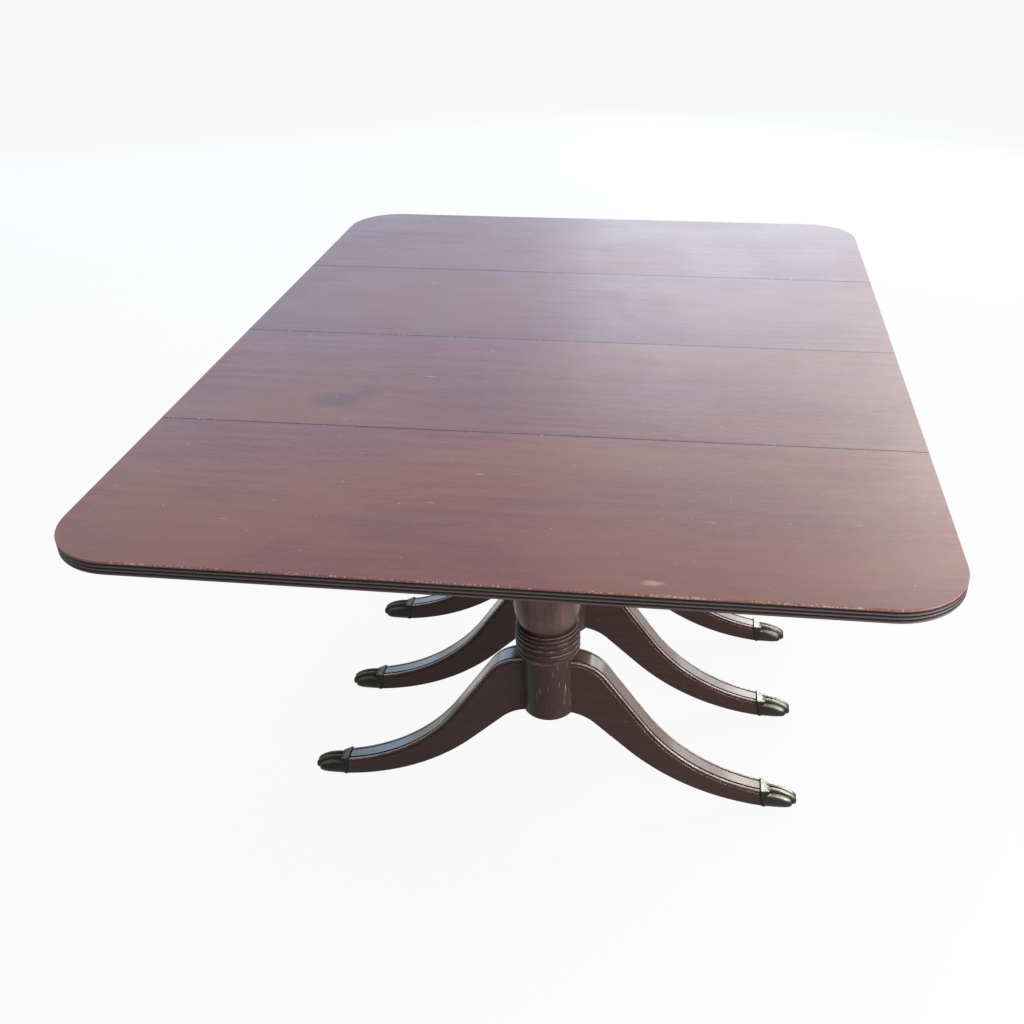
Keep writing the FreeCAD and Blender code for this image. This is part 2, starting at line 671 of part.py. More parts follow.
def slide(name):
    """Right-hand slide; halves carry a tongue that stops at the ends of the centre slide's groove."""
    x = SLIDE_XS[name]
    x0 = x - SLIDE_WIDTH / 2.0
    x1 = x + SLIDE_WIDTH / 2.0
    middle = (SLIDE_TOP + SLIDE_BOTTOM) / 2.0
    half_groove = GROOVE_HEIGHT / 2.0
    groove_end = SLIDE_REACH - GROOVE_END
    body = box(x0, x1, -SLIDE_REACH, SLIDE_REACH, SLIDE_BOTTOM, SLIDE_TOP)
    cuts = [bearer_bolt(sx, sy, FIT) for sx, sy in bearer_bolt_spots(name) if sx > 0]
    if name == "centre":
        for cut_x0, cut_x1 in ((x0, x0 + GROOVE_DEPTH), (x1 - GROOVE_DEPTH, x1)):
            low = middle - half_groove
            cuts.append(box(cut_x0, cut_x1, -groove_end, groove_end, low, low + 2.0 * half_groove))
        return body.cut(cuts)
    toward = 1.0 if name == "front" else -1.0
    far = toward * (groove_end - TONGUE_CLEARANCE)
    near = toward * (EXTENSION_TRAVEL - groove_end + TONGUE_CLEARANCE)
    reach = SLIDE_GAP + GROOVE_DEPTH - TONGUE_TIP_GAP
    tongue_x = (x0 - reach, x0) if name == "front" else (x1, x1 + reach)
    tongue = box(
        tongue_x[0],
        tongue_x[1],
        min(near, far),
        max(near, far),
        middle - half_groove + TONGUE_CLEARANCE,
        middle + half_groove - TONGUE_CLEARANCE,
    )
    pad_ys = (-SLIDE_REACH, -PAD_SETBACK) if name == "front" else (PAD_SETBACK, SLIDE_REACH)
    pad = box(x0, x1, pad_ys[0], pad_ys[1], SLIDE_TOP, UNDERSIDE)
    for sx, sy in slide_screw_spots(name):
        if sx > 0:
            bore_y = sy if name == "front" else -sy
            cuts.append(slide_bolt(sx, bore_y, FIT))
            cuts.append(rod_z(SLIDE_BOTTOM, SLIDE_TOP - SLIDE_BOLT_SINK, sx, bore_y, BOLT_HEAD + FIT))
    return fused([body, tongue, pad]).cut(cuts)


def bearer(name):
    """Cross member on a column, raised only under its own slides."""
    y = PEDESTAL_YS[name]
    y0 = y - BEARER_HALF_DEPTH
    y1 = y + BEARER_HALF_DEPTH
    body = box(-BEARER_HALF_LENGTH, BEARER_HALF_LENGTH, y0, y1, BEARER_BOTTOM, BEARER_TOP)
    lower_ends = [
        edge
        for edge in body.Edges
        if abs(edge.BoundBox.ZMax - BEARER_BOTTOM) < 0.01 and edge.BoundBox.XLength < 0.01
    ]
    body = body.makeChamfer(BEARER_CHAMFER, lower_ends)
    x = SLIDE_XS[name]
    half = SLIDE_WIDTH / 2.0
    pads = both_sides(box(x - half, x + half, y0, y1, BEARER_TOP, SLIDE_BOTTOM))
    cuts = [bearer_bolt(sx, sy, FIT) for sx, sy in bearer_bolt_spots(name)]
    cuts.append(rod_z(BEARER_BOTTOM - 1, BEARER_BOTTOM + TENON_LENGTH + 0.5, 0, y, TENON_RADIUS + FIT))
    return fused([body] + pads).cut(cuts)


def ring_point(step, depth):
    """Point on the barrel outline of the ring band, whose lower rings are the taller ones."""
    share = step / RING_COUNT
    radius = RING_CREST - RING_BARREL * (share - RING_SWELL) ** 2 - depth
    rise = RING_HEIGHT * step * (1.0 + RING_GRADE * (1.0 - share))
    return Vector(radius, 0, RING_BOTTOM + rise)


def column():
    """Turned column at the origin: foot drum, ring band, vase, collar and tenon."""
    top = BEARER_BOTTOM
    ring_top = RING_BOTTOM + RING_COUNT * RING_HEIGHT
    neck_top = ring_top + NECK_HEIGHT

    def at(radius, z):
        return Vector(radius, 0, z)

    edges = [
        line(at(0, COLUMN_BOTTOM), at(COLUMN_FOOT_RADIUS - FOOT_CHAMFER, COLUMN_BOTTOM)),
        line(
            at(COLUMN_FOOT_RADIUS - FOOT_CHAMFER, COLUMN_BOTTOM),
            at(COLUMN_FOOT_RADIUS, COLUMN_BOTTOM + FOOT_CHAMFER),
        ),
        line(at(COLUMN_FOOT_RADIUS, COLUMN_BOTTOM + FOOT_CHAMFER), at(COLUMN_FOOT_RADIUS, RING_BOTTOM)),
        line(at(COLUMN_FOOT_RADIUS, RING_BOTTOM), ring_point(0, RING_DEPTH)),
    ]
    below = ring_point(0, RING_DEPTH)
    for index in range(RING_COUNT):
        crest = index + 0.5
        low = ring_point(crest - RIDGE_SHARE, 0.0)
        high = ring_point(crest + RIDGE_SHARE, 0.0)
        if index == 0:
            edges.append(line(below, low))
        else:
            edges.append(arc(below, ring_point(index, RING_DEPTH), low))
        edges.append(arc(low, ring_point(crest, -RIDGE_CROWN), high))
        below = high
    edges.append(line(below, ring_point(RING_COUNT, RING_DEPTH)))
    edges.append(line(ring_point(RING_COUNT, RING_DEPTH), at(VASE_NECK, ring_top)))
    edges.append(line(at(VASE_NECK, ring_top), at(VASE_NECK, neck_top)))
    slim = VASE_RADIUS - VASE_TOP_INSET
    vase = Part.BSplineCurve()
    vase.interpolate([
        at(VASE_NECK, neck_top),
        at(VASE_RADIUS - VASE_SWELL_INSET, neck_top + VASE_SWELL_RISE),
        at(VASE_RADIUS, neck_top + VASE_CREST_RISE),
        at(VASE_RADIUS - VASE_TAPER_INSET, top - VASE_TAPER_DROP),
        at(VASE_RADIUS - VASE_WAIST_INSET, top - VASE_WAIST_DROP),
        at(slim, top - ASTRAGAL_DROP),
    ])
    edges.append(vase.toShape())
    bead_low = top - ASTRAGAL_DROP
    bead_top = bead_low + ASTRAGAL_HEIGHT
    bead = slim + ASTRAGAL_STEP
    bead_half = ASTRAGAL_HEIGHT / 2.0
    cap_low = top - CAP_HEIGHT
    flare = slim + CAP_FLARE
    cap = flare + ASTRAGAL_STEP
    edges.extend([
        line(at(slim, bead_low), at(bead, bead_low)),
        arc(at(bead, bead_low), at(bead + bead_half, bead_low + bead_half), at(bead, bead_top)),
        line(at(bead, bead_top), at(slim, bead_top)),
        arc(at(slim, bead_top), at(slim + CAP_COVE_FLARE, bead_top + CAP_COVE_RISE), at(flare, cap_low)),
        line(at(flare, cap_low), at(cap, cap_low)),
        line(at(cap, cap_low), at(cap, top)),
        line(at(cap, top), at(TENON_RADIUS, top)),
        line(at(TENON_RADIUS, top), at(TENON_RADIUS, top + TENON_LENGTH)),
        line(at(TENON_RADIUS, top + TENON_LENGTH), at(0, top + TENON_LENGTH)),
        line(at(0, top + TENON_LENGTH), at(0, COLUMN_BOTTOM)),
    ])
    solid = face_of(edges).revolve(Vector(0, 0, 0), Vector(0, 0, 1), 360)
    return solid.cut(leg_dowels(FIT))


def leg_dowels(clearance=0.0):
    """Two dowels into each of the two legs, for a pedestal at the origin."""
    dowels = []
    for z in DOWEL_HEIGHTS:
        dowel = rod_x(
            COLUMN_FOOT_RADIUS - DOWEL_REACH - clearance,
            COLUMN_FOOT_RADIUS + DOWEL_REACH + clearance,
            0,
            z,
            DOWEL_RADIUS + clearance,
        )
        dowels.extend(both_sides(dowel))
    return dowels


def swept_edge(start, start_slope, shoulder, slope, end, end_slope, sink=0.0):
    """Edge of a leg: round shoulder, straight run and hollow sweep to the foot, sunk along its normal."""
    sin_a = math.sin(slope)
    cos_a = math.cos(slope)
    knee_x = start[0] + shoulder * (sin_a - math.sin(start_slope))
    knee_z = start[1] - shoulder * (math.cos(start_slope) - cos_a)
    across = sin_a - math.sin(end_slope)
    down = math.cos(end_slope) - cos_a
    determinant = -cos_a * down + sin_a * across
    gap_x = end[0] - knee_x
    gap_z = end[1] - knee_z
    run = (-gap_x * down - gap_z * across) / determinant
    hollow = (cos_a * gap_z + sin_a * gap_x) / determinant
    sweep_x = knee_x + run * cos_a
    sweep_z = knee_z - run * sin_a

    def sunk(x, z, angle):
        return Vector(x - sink * math.sin(angle), 0, z - sink * math.cos(angle))

    def on_shoulder(angle):
        x = start[0] + shoulder * (math.sin(angle) - math.sin(start_slope))
        z = start[1] - shoulder * (math.cos(start_slope) - math.cos(angle))
        return sunk(x, z, angle)

    def on_sweep(angle):
        x = sweep_x + hollow * (sin_a - math.sin(angle))
        z = sweep_z - hollow * (math.cos(angle) - cos_a)
        return sunk(x, z, angle)

    middle = (start_slope + slope) / 2.0
    late = (slope + end_slope) / 2.0
    lead = LEG_START - LEG_ROOT
    first = on_shoulder(start_slope)
    root = Vector(first.x - lead, 0, first.z + lead * math.tan(start_slope))
    return [
        line(root, first),
        arc(on_shoulder(start_slope), on_shoulder(middle), on_shoulder(slope)),
        line(on_shoulder(slope), on_sweep(slope)),
        arc(on_sweep(slope), on_sweep(late), on_sweep(end_slope)),
    ]


def leg_top_edge(sink):
    """Upper edge of a leg, sunk by a little."""
    return swept_edge(
        (LEG_START, LEG_TOP), 0.0, TOP_SHOULDER, TOP_SLOPE, (LEG_END, LEG_END_TOP), TOP_END_SLOPE, sink
    )


def leg_half(x):
    """Half the thickness of a leg at a distance from the column's axis."""
    share = (x - LEG_START) / (LEG_END - LEG_START)
    return (LEG_ROOT_THICKNESS + share * (LEG_FOOT_THICKNESS - LEG_ROOT_THICKNESS)) / 2.0


def plan_band(left, right):
    """Upright block between two lines of the plan that follow the taper of a leg.

    Each line is given as a side of the axis, +1 or -1, and an inset from that face."""
    far = 2.0 * LEG_END
    corners = []
    for side, inset in (left, right):
        near_corner = Vector(0, side * (leg_half(0.0) - inset), 0)
        far_corner = Vector(far, side * (leg_half(far) - inset), 0)
        corners.append((near_corner, far_corner))
    (left_near, left_far), (right_near, right_far) = corners
    loop = [left_near, left_far, right_far, right_near]
    sides = [line(loop[index - 1], loop[index]) for index in range(4)]
    return face_of(sides).extrude(Vector(0, 0, 2.0 * LEG_TOP))


def leg_core(sink, inset):
    """Inner body of a leg: its top edge sunk and its tapering sides set in."""
    slab = leg_slice(sink, -LEG_ROOT_THICKNESS, LEG_ROOT_THICKNESS)
    return slab.common(plan_band((1, inset), (-1, inset)))


def rounded_bead():
    """Outer slice of a leg, on its left, with its two top edges rounded."""
    slab = leg_slice(0.0, 0.0, LEG_ROOT_THICKNESS).common(plan_band((1, 0.0), (1, EDGE_BEAD)))
    outline = Part.Wire(leg_top_edge(0.0))
    rim = []
    for edge in slab.Edges:
        point = edge.valueAt((edge.FirstParameter + edge.LastParameter) / 2.0)
        off_outline = Part.Vertex(Vector(point.x, 0, point.z)).distToShape(outline)[0]
        if edge.BoundBox.XLength > BEAD_ROUND and off_outline < 0.01:
            rim.append(edge)
    return slab.makeFillet(BEAD_ROUND, rim)


def leg_slice(sink, y0, y1):
    """Upright slice of a leg whose top edge is sunk by a little."""
    top = leg_top_edge(sink)
    low = swept_edge(
        (LEG_START, LEG_BOTTOM),
        LOW_START_SLOPE,
        LOW_SHOULDER,
        LOW_SLOPE,
        (LEG_END + END_SLANT, LEG_END_BOTTOM),
        LOW_END_SLOPE,
    )
    ends = [
        line(top[0].firstVertex(True).Point, low[0].firstVertex(True).Point),
        line(top[-1].lastVertex(True).Point, low[-1].lastVertex(True).Point),
    ]
    return moved(face_of(top + low + ends).extrude(Vector(0, y1 - y0, 0)), 0, y0, 0)


def side_groove():
    """Cutter for the groove under the bead on the left face of a leg."""
    upper = leg_top_edge(EDGE_BEAD)
    lower = leg_top_edge(EDGE_BEAD + BEAD_GROOVE)
    ends = [
        line(upper[0].firstVertex(True).Point, lower[0].firstVertex(True).Point),
        line(upper[-1].lastVertex(True).Point, lower[-1].lastVertex(True).Point),
    ]
    strip = face_of(upper + lower + ends).extrude(Vector(0, LEG_ROOT_THICKNESS, 0))
    return strip.common(plan_band((1, -GROOVE_SINK), (1, GROOVE_SINK)))


def leg():
    """Right-hand leg at the origin with a bead along each top edge and a stub for the paw."""
    bead = rounded_bead()
    stub = box(
        LEG_END - STUB_ROOT,
        LEG_END + STUB_LENGTH,
        -STUB_HALF_WIDTH,
        STUB_HALF_WIDTH,
        STUB_BOTTOM,
        STUB_TOP,
    )
    body = fused([
        leg_core(0.0, EDGE_BEAD + BEAD_GROOVE),
        leg_core(GROOVE_SINK, EDGE_BEAD - BEAD_LAP),
        bead,
        mirrored_y(bead),
        stub,
    ])
    groove = side_groove()
    drum = rod_z(COLUMN_BOTTOM, 2.0 * LEG_TOP, 0, 0, COLUMN_FOOT_RADIUS + FIT)
    return body.cut([drum, groove, mirrored_y(groove)] + leg_dowels(FIT))


def leg_end_x(z):
    """X of the slanted joint between leg and paw at a height."""
    return LEG_END + END_SLANT * (LEG_END_TOP - z) / (LEG_END_TOP - LEG_END_BOTTOM)


def paw_side(shrink, half_width):
    """Side outline of a paw, shrunk at the top and the toes, as a block of some width."""
    tip = TOE_TIP - shrink
    top = LEG_END_TOP + PAW_PROUD - shrink
    corners = [
        Vector(leg_end_x(top) + PAW_JOINT_GAP, 0, top),
        Vector(LEG_END + PAW_INSTEP_RUN, 0, LEG_END_TOP - PAW_INSTEP_SINK - shrink),
        Vector(tip - PAW_KNUCKLE_RUN, 0, PAW_KNUCKLE_HEIGHT - shrink),
        Vector(tip, 0, PAW_TIP_HEIGHT),
        Vector(tip - PAW_NAIL_RUN, 0, PAW_NAIL_HEIGHT),
        Vector(tip - PAW_SOLE_SETBACK, 0, 0.0),
        Vector(leg_end_x(0.0) + PAW_JOINT_GAP, 0, 0.0),
    ]
    edges = [
        line(corners[0], corners[1]),
        arc(corners[1], corners[2], corners[3]),
        arc(corners[3], corners[4], corners[5]),
        line(corners[5], corners[6]),
        line(corners[6], corners[0]),
    ]
    return moved(face_of(edges).extrude(Vector(0, 2 * half_width, 0)), 0, -half_width, 0)


def paw():
    """Right-hand cast paw at the origin: socket over the leg stub, swelling into four toes."""
    back = LEG_END - END_SLANT
    socket = LEG_END + PAW_SOCKET_RUN
    toes = LEG_END + PAW_TOE_RUN
    tall = 2.0 * LEG_END_TOP
    plan = [
        line(Vector(back, PAW_HALF_WIDTH, 0), Vector(socket, PAW_HALF_WIDTH, 0)),
        line(Vector(socket, PAW_HALF_WIDTH, 0), Vector(toes, TOE_HALF_WIDTH, 0)),
        arc(Vector(toes, TOE_HALF_WIDTH, 0), Vector(TOE_TIP, 0, 0), Vector(toes, -TOE_HALF_WIDTH, 0)),
        line(Vector(toes, -TOE_HALF_WIDTH, 0), Vector(socket, -PAW_HALF_WIDTH, 0)),
        line(Vector(socket, -PAW_HALF_WIDTH, 0), Vector(back, -PAW_HALF_WIDTH, 0)),
        line(Vector(back, -PAW_HALF_WIDTH, 0), Vector(back, PAW_HALF_WIDTH, 0)),
    ]
    plan_block = moved(face_of(plan).extrude(Vector(0, 0, 2.0 * tall)), 0, 0, -tall)
    body = paw_side(0.0, 2.0 * TOE_HALF_WIDTH).common(plan_block)
    toes_start = LEG_END + TOE_GROOVE_RUN
    cuts = []
    for index in (-1, 0, 1):
        slit = paw_side(0.0, TOE_GROOVE_HALF_WIDTH).cut(paw_side(TOE_GROOVE_DEPTH, TOE_HALF_WIDTH))
        reach = box(toes_start, 2.0 * TOE_TIP, -TOE_HALF_WIDTH, TOE_HALF_WIDTH, TOE_GROOVE_FLOOR, tall)
        slit = slit.common(reach)
        cuts.append(moved(slit, 0, index * TOE_GROOVE_SPACING, 0))
    cuts.append(
        box(
            back,
            LEG_END + STUB_LENGTH + STUB_FIT,
            -STUB_HALF_WIDTH - STUB_FIT,
            STUB_HALF_WIDTH + STUB_FIT,
            STUB_BOTTOM - STUB_FIT,
            STUB_TOP + STUB_FIT,
        )
    )
    return body.cut(cuts)


def add_pedestal(name):
    """Column, dowels, legs, paws and bearer of one pedestal."""
    y = PEDESTAL_YS[name]
    pieces[name + "_column"] = moved(column(), 0, y, 0)
    pieces[name + "_leg_dowels"] = moved(Part.makeCompound(leg_dowels()), 0, y, 0)
    for side, shape in (("right", leg()), ("left", mirrored_x(leg()))):
        pieces[name + "_" + side + "_leg"] = moved(shape, 0, y, 0)
    for side, shape in (("right", paw()), ("left", mirrored_x(paw()))):
        pieces[name + "_" + side + "_paw"] = moved(shape, 0, y, 0)
    pieces[name + "_bearer"] = bearer(name)
    for side, shape in (("right", slide(name)), ("left", mirrored_x(slide(name)))):
        pieces[name + "_" + side + "_slide"] = shape


def add_half(name):
    """Boards, frame, hinges and stays of the front or the rear half."""
    def placed(shape):
        return shape if name == "front" else mirrored_y(shape)

    pieces[name + "_half_top"] = placed(half_top(name))
    pieces[name + "_leaf"] = placed(leaf_top())
    pieces[name + "_end_rail"] = placed(end_rail())
    pieces[name + "_right_apron"] = placed(side_apron())
    pieces[name + "_left_apron"] = placed(mirrored_x(side_apron()))

    hinges = [hinge_plates(x) for x in HINGE_XS]
    pieces[name + "_hinge_plates"] = placed(Part.makeCompound([hinge[0] for hinge in hinges]))
    pieces[name + "_leaf_hinge_plates"] = placed(Part.makeCompound([hinge[1] for hinge in hinges]))
    pieces[name + "_hinge_pins"] = placed(Part.makeCompound([hinge[2] for hinge in hinges]))
    half_screws = []
    leaf_screws = []
    for x in HINGE_XS:
        fixed_spots, leaf_spots = hinge_plate_screw_spots(x)
        half_screws.extend(wood_screw(sx, sy) for sx, sy in fixed_spots)
        leaf_screws.extend(wood_screw(sx, sy) for sx, sy in leaf_spots)
    leaf_screws.extend(flange_screw(sx, sy) for sx, sy in bracket_screw_spots())
    pieces[name + "_hinge_screws"] = placed(Part.makeCompound(half_screws))
    pieces[name + "_leaf_screws"] = placed(Part.makeCompound(leaf_screws))

    pieces[name + "_stay_guides"] = placed(Part.makeCompound(both_sides(stay_guide())))
    pieces[name + "_stay_arms"] = placed(Part.makeCompound(both_sides(stay_arm())))
    pieces[name + "_stay_brackets"] = placed(Part.makeCompound(both_sides(stay_bracket())))
    pins = stay_pins()
    pieces[name + "_stay_pins"] = placed(Part.makeCompound(pins + [mirrored_x(pin) for pin in pins]))

    frame_screws = [placed(slide_bolt(x, y)) for x, y in slide_screw_spots(name)]
    frame_screws.extend(placed(flange_screw(x, y)) for x, y in guide_screw_spots())
    frame_screws.extend(bearer_bolt(x, y) for x, y in bearer_bolt_spots(name))
    pieces[name + "_frame_screws"] = Part.makeCompound(frame_screws)


def seam_dowels():
    """Dowels fixed in the front half that enter the rear half when the table is closed."""
    z = UNDERSIDE + TOP_THICKNESS / 2.0
    return [
        rod_y(-SEAM_DOWEL_REACH, SEAM_DOWEL_REACH, x, z, SEAM_DOWEL_RADIUS)
        for x in (-SEAM_DOWEL_SPACING, 0.0, SEAM_DOWEL_SPACING)
    ]


for pedestal_name in PEDESTAL_YS:
    add_pedestal(pedestal_name)
for half_name in ("front", "rear"):
    add_half(half_name)
pieces["seam_dowels"] = Part.makeCompound(seam_dowels())
centre_bolts = [bearer_bolt(x, y) for x, y in bearer_bolt_spots("centre")]
pieces["centre_bearer_screws"] = Part.makeCompound(centre_bolts)

os.makedirs("parts", exist_ok=True)
for piece_name, piece_shape in pieces.items():
    piece_shape.exportStep("parts/" + piece_name + ".step")
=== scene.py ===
"""Looks of a drop-leaf dining table: polished boards, dark turned base, cast paws and small fittings.

The frame gives every wooden and metal part in its place. This file finishes their surfaces, models the
cast paws and sets the stage. Metres, +Z up, -Y towards the front leaf.
"""
import json
import math

import bpy
from mathutils import Matrix, Vector


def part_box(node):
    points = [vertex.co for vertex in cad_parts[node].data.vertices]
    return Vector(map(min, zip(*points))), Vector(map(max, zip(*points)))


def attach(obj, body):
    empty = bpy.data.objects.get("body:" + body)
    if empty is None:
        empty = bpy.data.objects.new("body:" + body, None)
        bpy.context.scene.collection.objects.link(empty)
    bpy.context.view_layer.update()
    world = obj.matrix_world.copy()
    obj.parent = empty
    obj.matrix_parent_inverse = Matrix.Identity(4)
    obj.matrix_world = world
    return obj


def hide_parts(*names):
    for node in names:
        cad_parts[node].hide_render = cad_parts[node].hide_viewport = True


bl_info = {
    "name": "Drop-leaf dining table",
    "version": (1, 0, 0),
    "blender": (4, 5, 0),
    "location": "3D View > Sidebar > Table",
    "description": "Finishes the boards, base, paws and fittings of a drop-leaf table and sets its stage",
    "category": "Object",
}

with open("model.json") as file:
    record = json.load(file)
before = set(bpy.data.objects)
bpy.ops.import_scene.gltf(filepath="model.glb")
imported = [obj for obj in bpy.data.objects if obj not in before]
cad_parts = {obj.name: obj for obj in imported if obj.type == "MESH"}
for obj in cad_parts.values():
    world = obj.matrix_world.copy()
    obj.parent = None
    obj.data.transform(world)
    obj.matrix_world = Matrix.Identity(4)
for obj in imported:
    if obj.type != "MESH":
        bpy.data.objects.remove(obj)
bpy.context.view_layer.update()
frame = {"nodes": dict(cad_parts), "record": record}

# Places read from the frame
TOP_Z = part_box("front_half_top")[1].z
UNDER_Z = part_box("front_half_top")[0].z
HALF_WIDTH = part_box("front_leaf")[1].x
HALF_LENGTH = -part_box("front_leaf")[0].y
LEAF_SEAM = -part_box("front_leaf")[1].y
PEDESTAL_PITCH = -(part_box("front_right_leg")[0].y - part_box("centre_right_leg")[0].y)
LEG_ROOT_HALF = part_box("centre_right_leg")[1].y
LEG_ROOT_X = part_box("centre_right_leg")[0].x
PAW_LOW, PAW_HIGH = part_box("centre_right_paw")

QUARTER = math.pi / 2.0
UNTURNED = (0.0, 0.0, 0.0)
WHITE = (1.0, 1.0, 1.0, 1.0)

# Bands of the turned columns and reeds of the edge, as they were built
DRUM_TOP = 0.309
RING_HEIGHT = 0.0095
RING_GRADE = 0.5
RING_COUNT = 6
RING_TOP = DRUM_TOP + RING_COUNT * RING_HEIGHT
REED_COUNT = 4
REED_HEIGHT = (TOP_Z - UNDER_Z) / REED_COUNT

# Body that carries each pair of paws, and shift of the grain on each board
PAW_BODIES = {"front": "front_section", "centre": "centre_base", "rear": "rear_section"}
BOARDS = {
    "front_leaf": Vector((0.31, 1.70, 0.0)),
    "front_half_top": Vector((4.83, 0.42, 0.0)),
    "rear_half_top": Vector((2.27, 3.91, 0.0)),
    "rear_leaf": Vector((7.64, 2.36, 0.0)),
}

# Marks on the boards: colour, middle, half size, how broken the outline is, how much it covers
MARKS = {
    "front_half_top": (
        ("stain", (-0.297, -0.250, 0.0), (0.064, 0.040, 1.0), 0.5, 0.55),
        ("stain", (-0.258, -0.222, 0.0), (0.034, 0.020, 1.0), 0.6, 0.40),
    ),
    "front_leaf": (
        ("scuff", (0.182, -0.664, 0.0), (0.026, 0.010, 1.0), 0.9, 0.75),
    ),
}


def colour_prop(name, description, default):
    """Colour property with three channels."""
    return bpy.props.FloatVectorProperty(
        name=name, description=description, subtype="COLOR", size=3, min=0.0, max=1.0, default=default
    )


def number_prop(name, description, default, **settings):
    """Plain number, or one with a unit or kind of its own."""
    return bpy.props.FloatProperty(name=name, description=description, default=default, **settings)


def length_prop(name, description, default):
    """Length property in metres."""
    return number_prop(name, description, default, unit="LENGTH", subtype="DISTANCE", precision=4)


def share_prop(name, description, default):
    """Share between nought and one."""
    return number_prop(name, description, default, subtype="FACTOR", min=0.0, max=1.0)


def power_prop(name, description, default):
    """Power of a light in watts."""
    return number_prop(name, description, default, unit="POWER")


def angle_prop(name, description, degrees):
    """Angle, given in degrees."""
    return number_prop(name, description, math.radians(degrees), subtype="ANGLE")


class TopFinish(bpy.types.PropertyGroup):
    """Polish of the four boards of the top."""

    deep: colour_prop("Deep grain", "Dark streaks of the polished wood", (0.170, 0.045, 0.038))
    light: colour_prop("Light grain", "Light streaks of the polished wood", (0.276, 0.087, 0.069))
    faded: colour_prop("Faded patches", "Clouds where the polish has cooled", (0.176, 0.064, 0.075))
    warm: colour_prop("Warm patches", "Areas where the red polish is worn to orange", (0.262, 0.098, 0.056))
    speck: colour_prop("Specks", "Small dark specks in the polish", (0.030, 0.013, 0.013))
    # Edge: partly a darker stain, partly painted shade on the reeded side. Quirk: painted shade between the
    # reeds, and dirt in the seams.
    edge: colour_prop("Edge stain", "Dark stain on the crests of the reeded edge", (0.102, 0.061, 0.066))
    quirk_shade_and_seam_dirt: colour_prop("Quirk", "Dirt between the reeds of the edge and in the seams", (0.006, 0.004, 0.004))
    rubbed: colour_prop("Rubbed edge", "Pale wood where the arris is rubbed through", (0.640, 0.470, 0.400))
    arris: colour_prop("Arris", "Thinned polish along the arris", (0.320, 0.130, 0.105))
    stain: colour_prop("Stain", "Dark smudge on the front half", (0.050, 0.024, 0.032))
    scuff: colour_prop("Scuff", "Pale scuff on the front leaf", (0.520, 0.360, 0.240))
    under: colour_prop("Underside", "Unpolished underside of the boards", (0.150, 0.082, 0.050))
    roughness: share_prop("Satin", "Roughness of the rubbed polish", 0.38)
    shine: share_prop("Shine", "Specular level of the rubbed polish", 0.34)
    corner: length_prop("Corner radius", "Radius of the rounded corners of the top", 0.091)
    rubbed_width: length_prop("Rubbed width", "How far the rubbed edge reaches onto the board", 0.0019)
    seam_width: length_prop("Seam width", "How far the dark line of a seam reaches onto each board", 0.0019)


class BaseFinish(bpy.types.PropertyGroup):
    """Dark polish of columns, legs, aprons and rails."""

    deep: colour_prop("Deep grain", "Dark streaks of the base", (0.038, 0.021, 0.020))
    light: colour_prop("Light grain", "Light streaks of the base", (0.055, 0.032, 0.030))
    # Band: a lighter polish, and a painted sheen on the top of the leg.
    band: colour_prop("Band", "Polished band along the top of a leg", (0.105, 0.055, 0.036))
    blush: colour_prop("Blush", "Redder areas of the columns where the stain is thin", (0.165, 0.098, 0.088))
    # Groove: dirt, and painted shade in the groove.
    groove: colour_prop("Groove", "Dirt in the groove beside a bead", (0.010, 0.007, 0.006))
    # Rubbed wood: wear, and a painted highlight on the beads and ring crests.
    rubbed: colour_prop("Rubbed wood", "Pale wood where beads and rings are rubbed", (0.600, 0.430, 0.360))
    scratch: colour_prop("Scratches", "Pale scratches, most of them in the drum", (0.380, 0.280, 0.230))
    roughness: share_prop("Satin", "Roughness of the base polish", 0.34)
    shine: share_prop("Shine", "Specular level of the base polish", 0.12)
    lacquer: share_prop("Lacquer", "Roughness of the lacquer on the tops of the legs", 0.20)
    bead: length_prop("Bead width", "Width of the bead along each top edge of a leg", 0.0045)
    groove_width: length_prop("Groove width", "Width of the groove beside a bead", 0.0024)
    foot_half: length_prop("Foot half thickness", "Half thickness of a leg where it meets its paw", 0.01525)


class FrameFinish(bpy.types.PropertyGroup):
    """Plain wood of slides, bearers and dowels."""

    deep: colour_prop("Deep grain", "Dark streaks of the plain wood", (0.150, 0.085, 0.045))
    light: colour_prop("Light grain", "Light streaks of the plain wood", (0.330, 0.205, 0.115))


class MetalFinish(bpy.types.PropertyGroup):
    """Metals of the paws and the fittings."""

    # Paw brass is rubbed brass and a painted highlight on the tops; aged brass is aged brass and painted
    # shade on the sides.
    paw: colour_prop("Paw brass", "Rubbed high spots of the cast paws", (0.400, 0.384, 0.318))
    aged_and_shaded: colour_prop("Aged brass", "Sides of the paws that nobody rubs", (0.022, 0.021, 0.018))
    tarnish: colour_prop("Paw tarnish", "Tarnish in the hollows of the paws", (0.016, 0.014, 0.011))
    # These shares make a lit copy of the paw brass for the right-hand paws and a shaded copy for the
    # left-hand paws: painted light and shade.
    right_rub_and_painted_light: share_prop("Rub on the right", "How bright the tops of the right-hand paws are rubbed", 1.0)
    left_rub_and_painted_light: share_prop("Rub on the left", "How bright the tops of the left-hand paws are rubbed", 0.15)
    hinge: colour_prop("Hinge brass", "Plain brass of the hinges", (0.520, 0.400, 0.190))
    stay: colour_prop("Stay steel", "Blackened steel of the leaf stays", (0.180, 0.175, 0.170))
    screw: colour_prop("Screw steel", "Steel of the screws", (0.420, 0.410, 0.400))


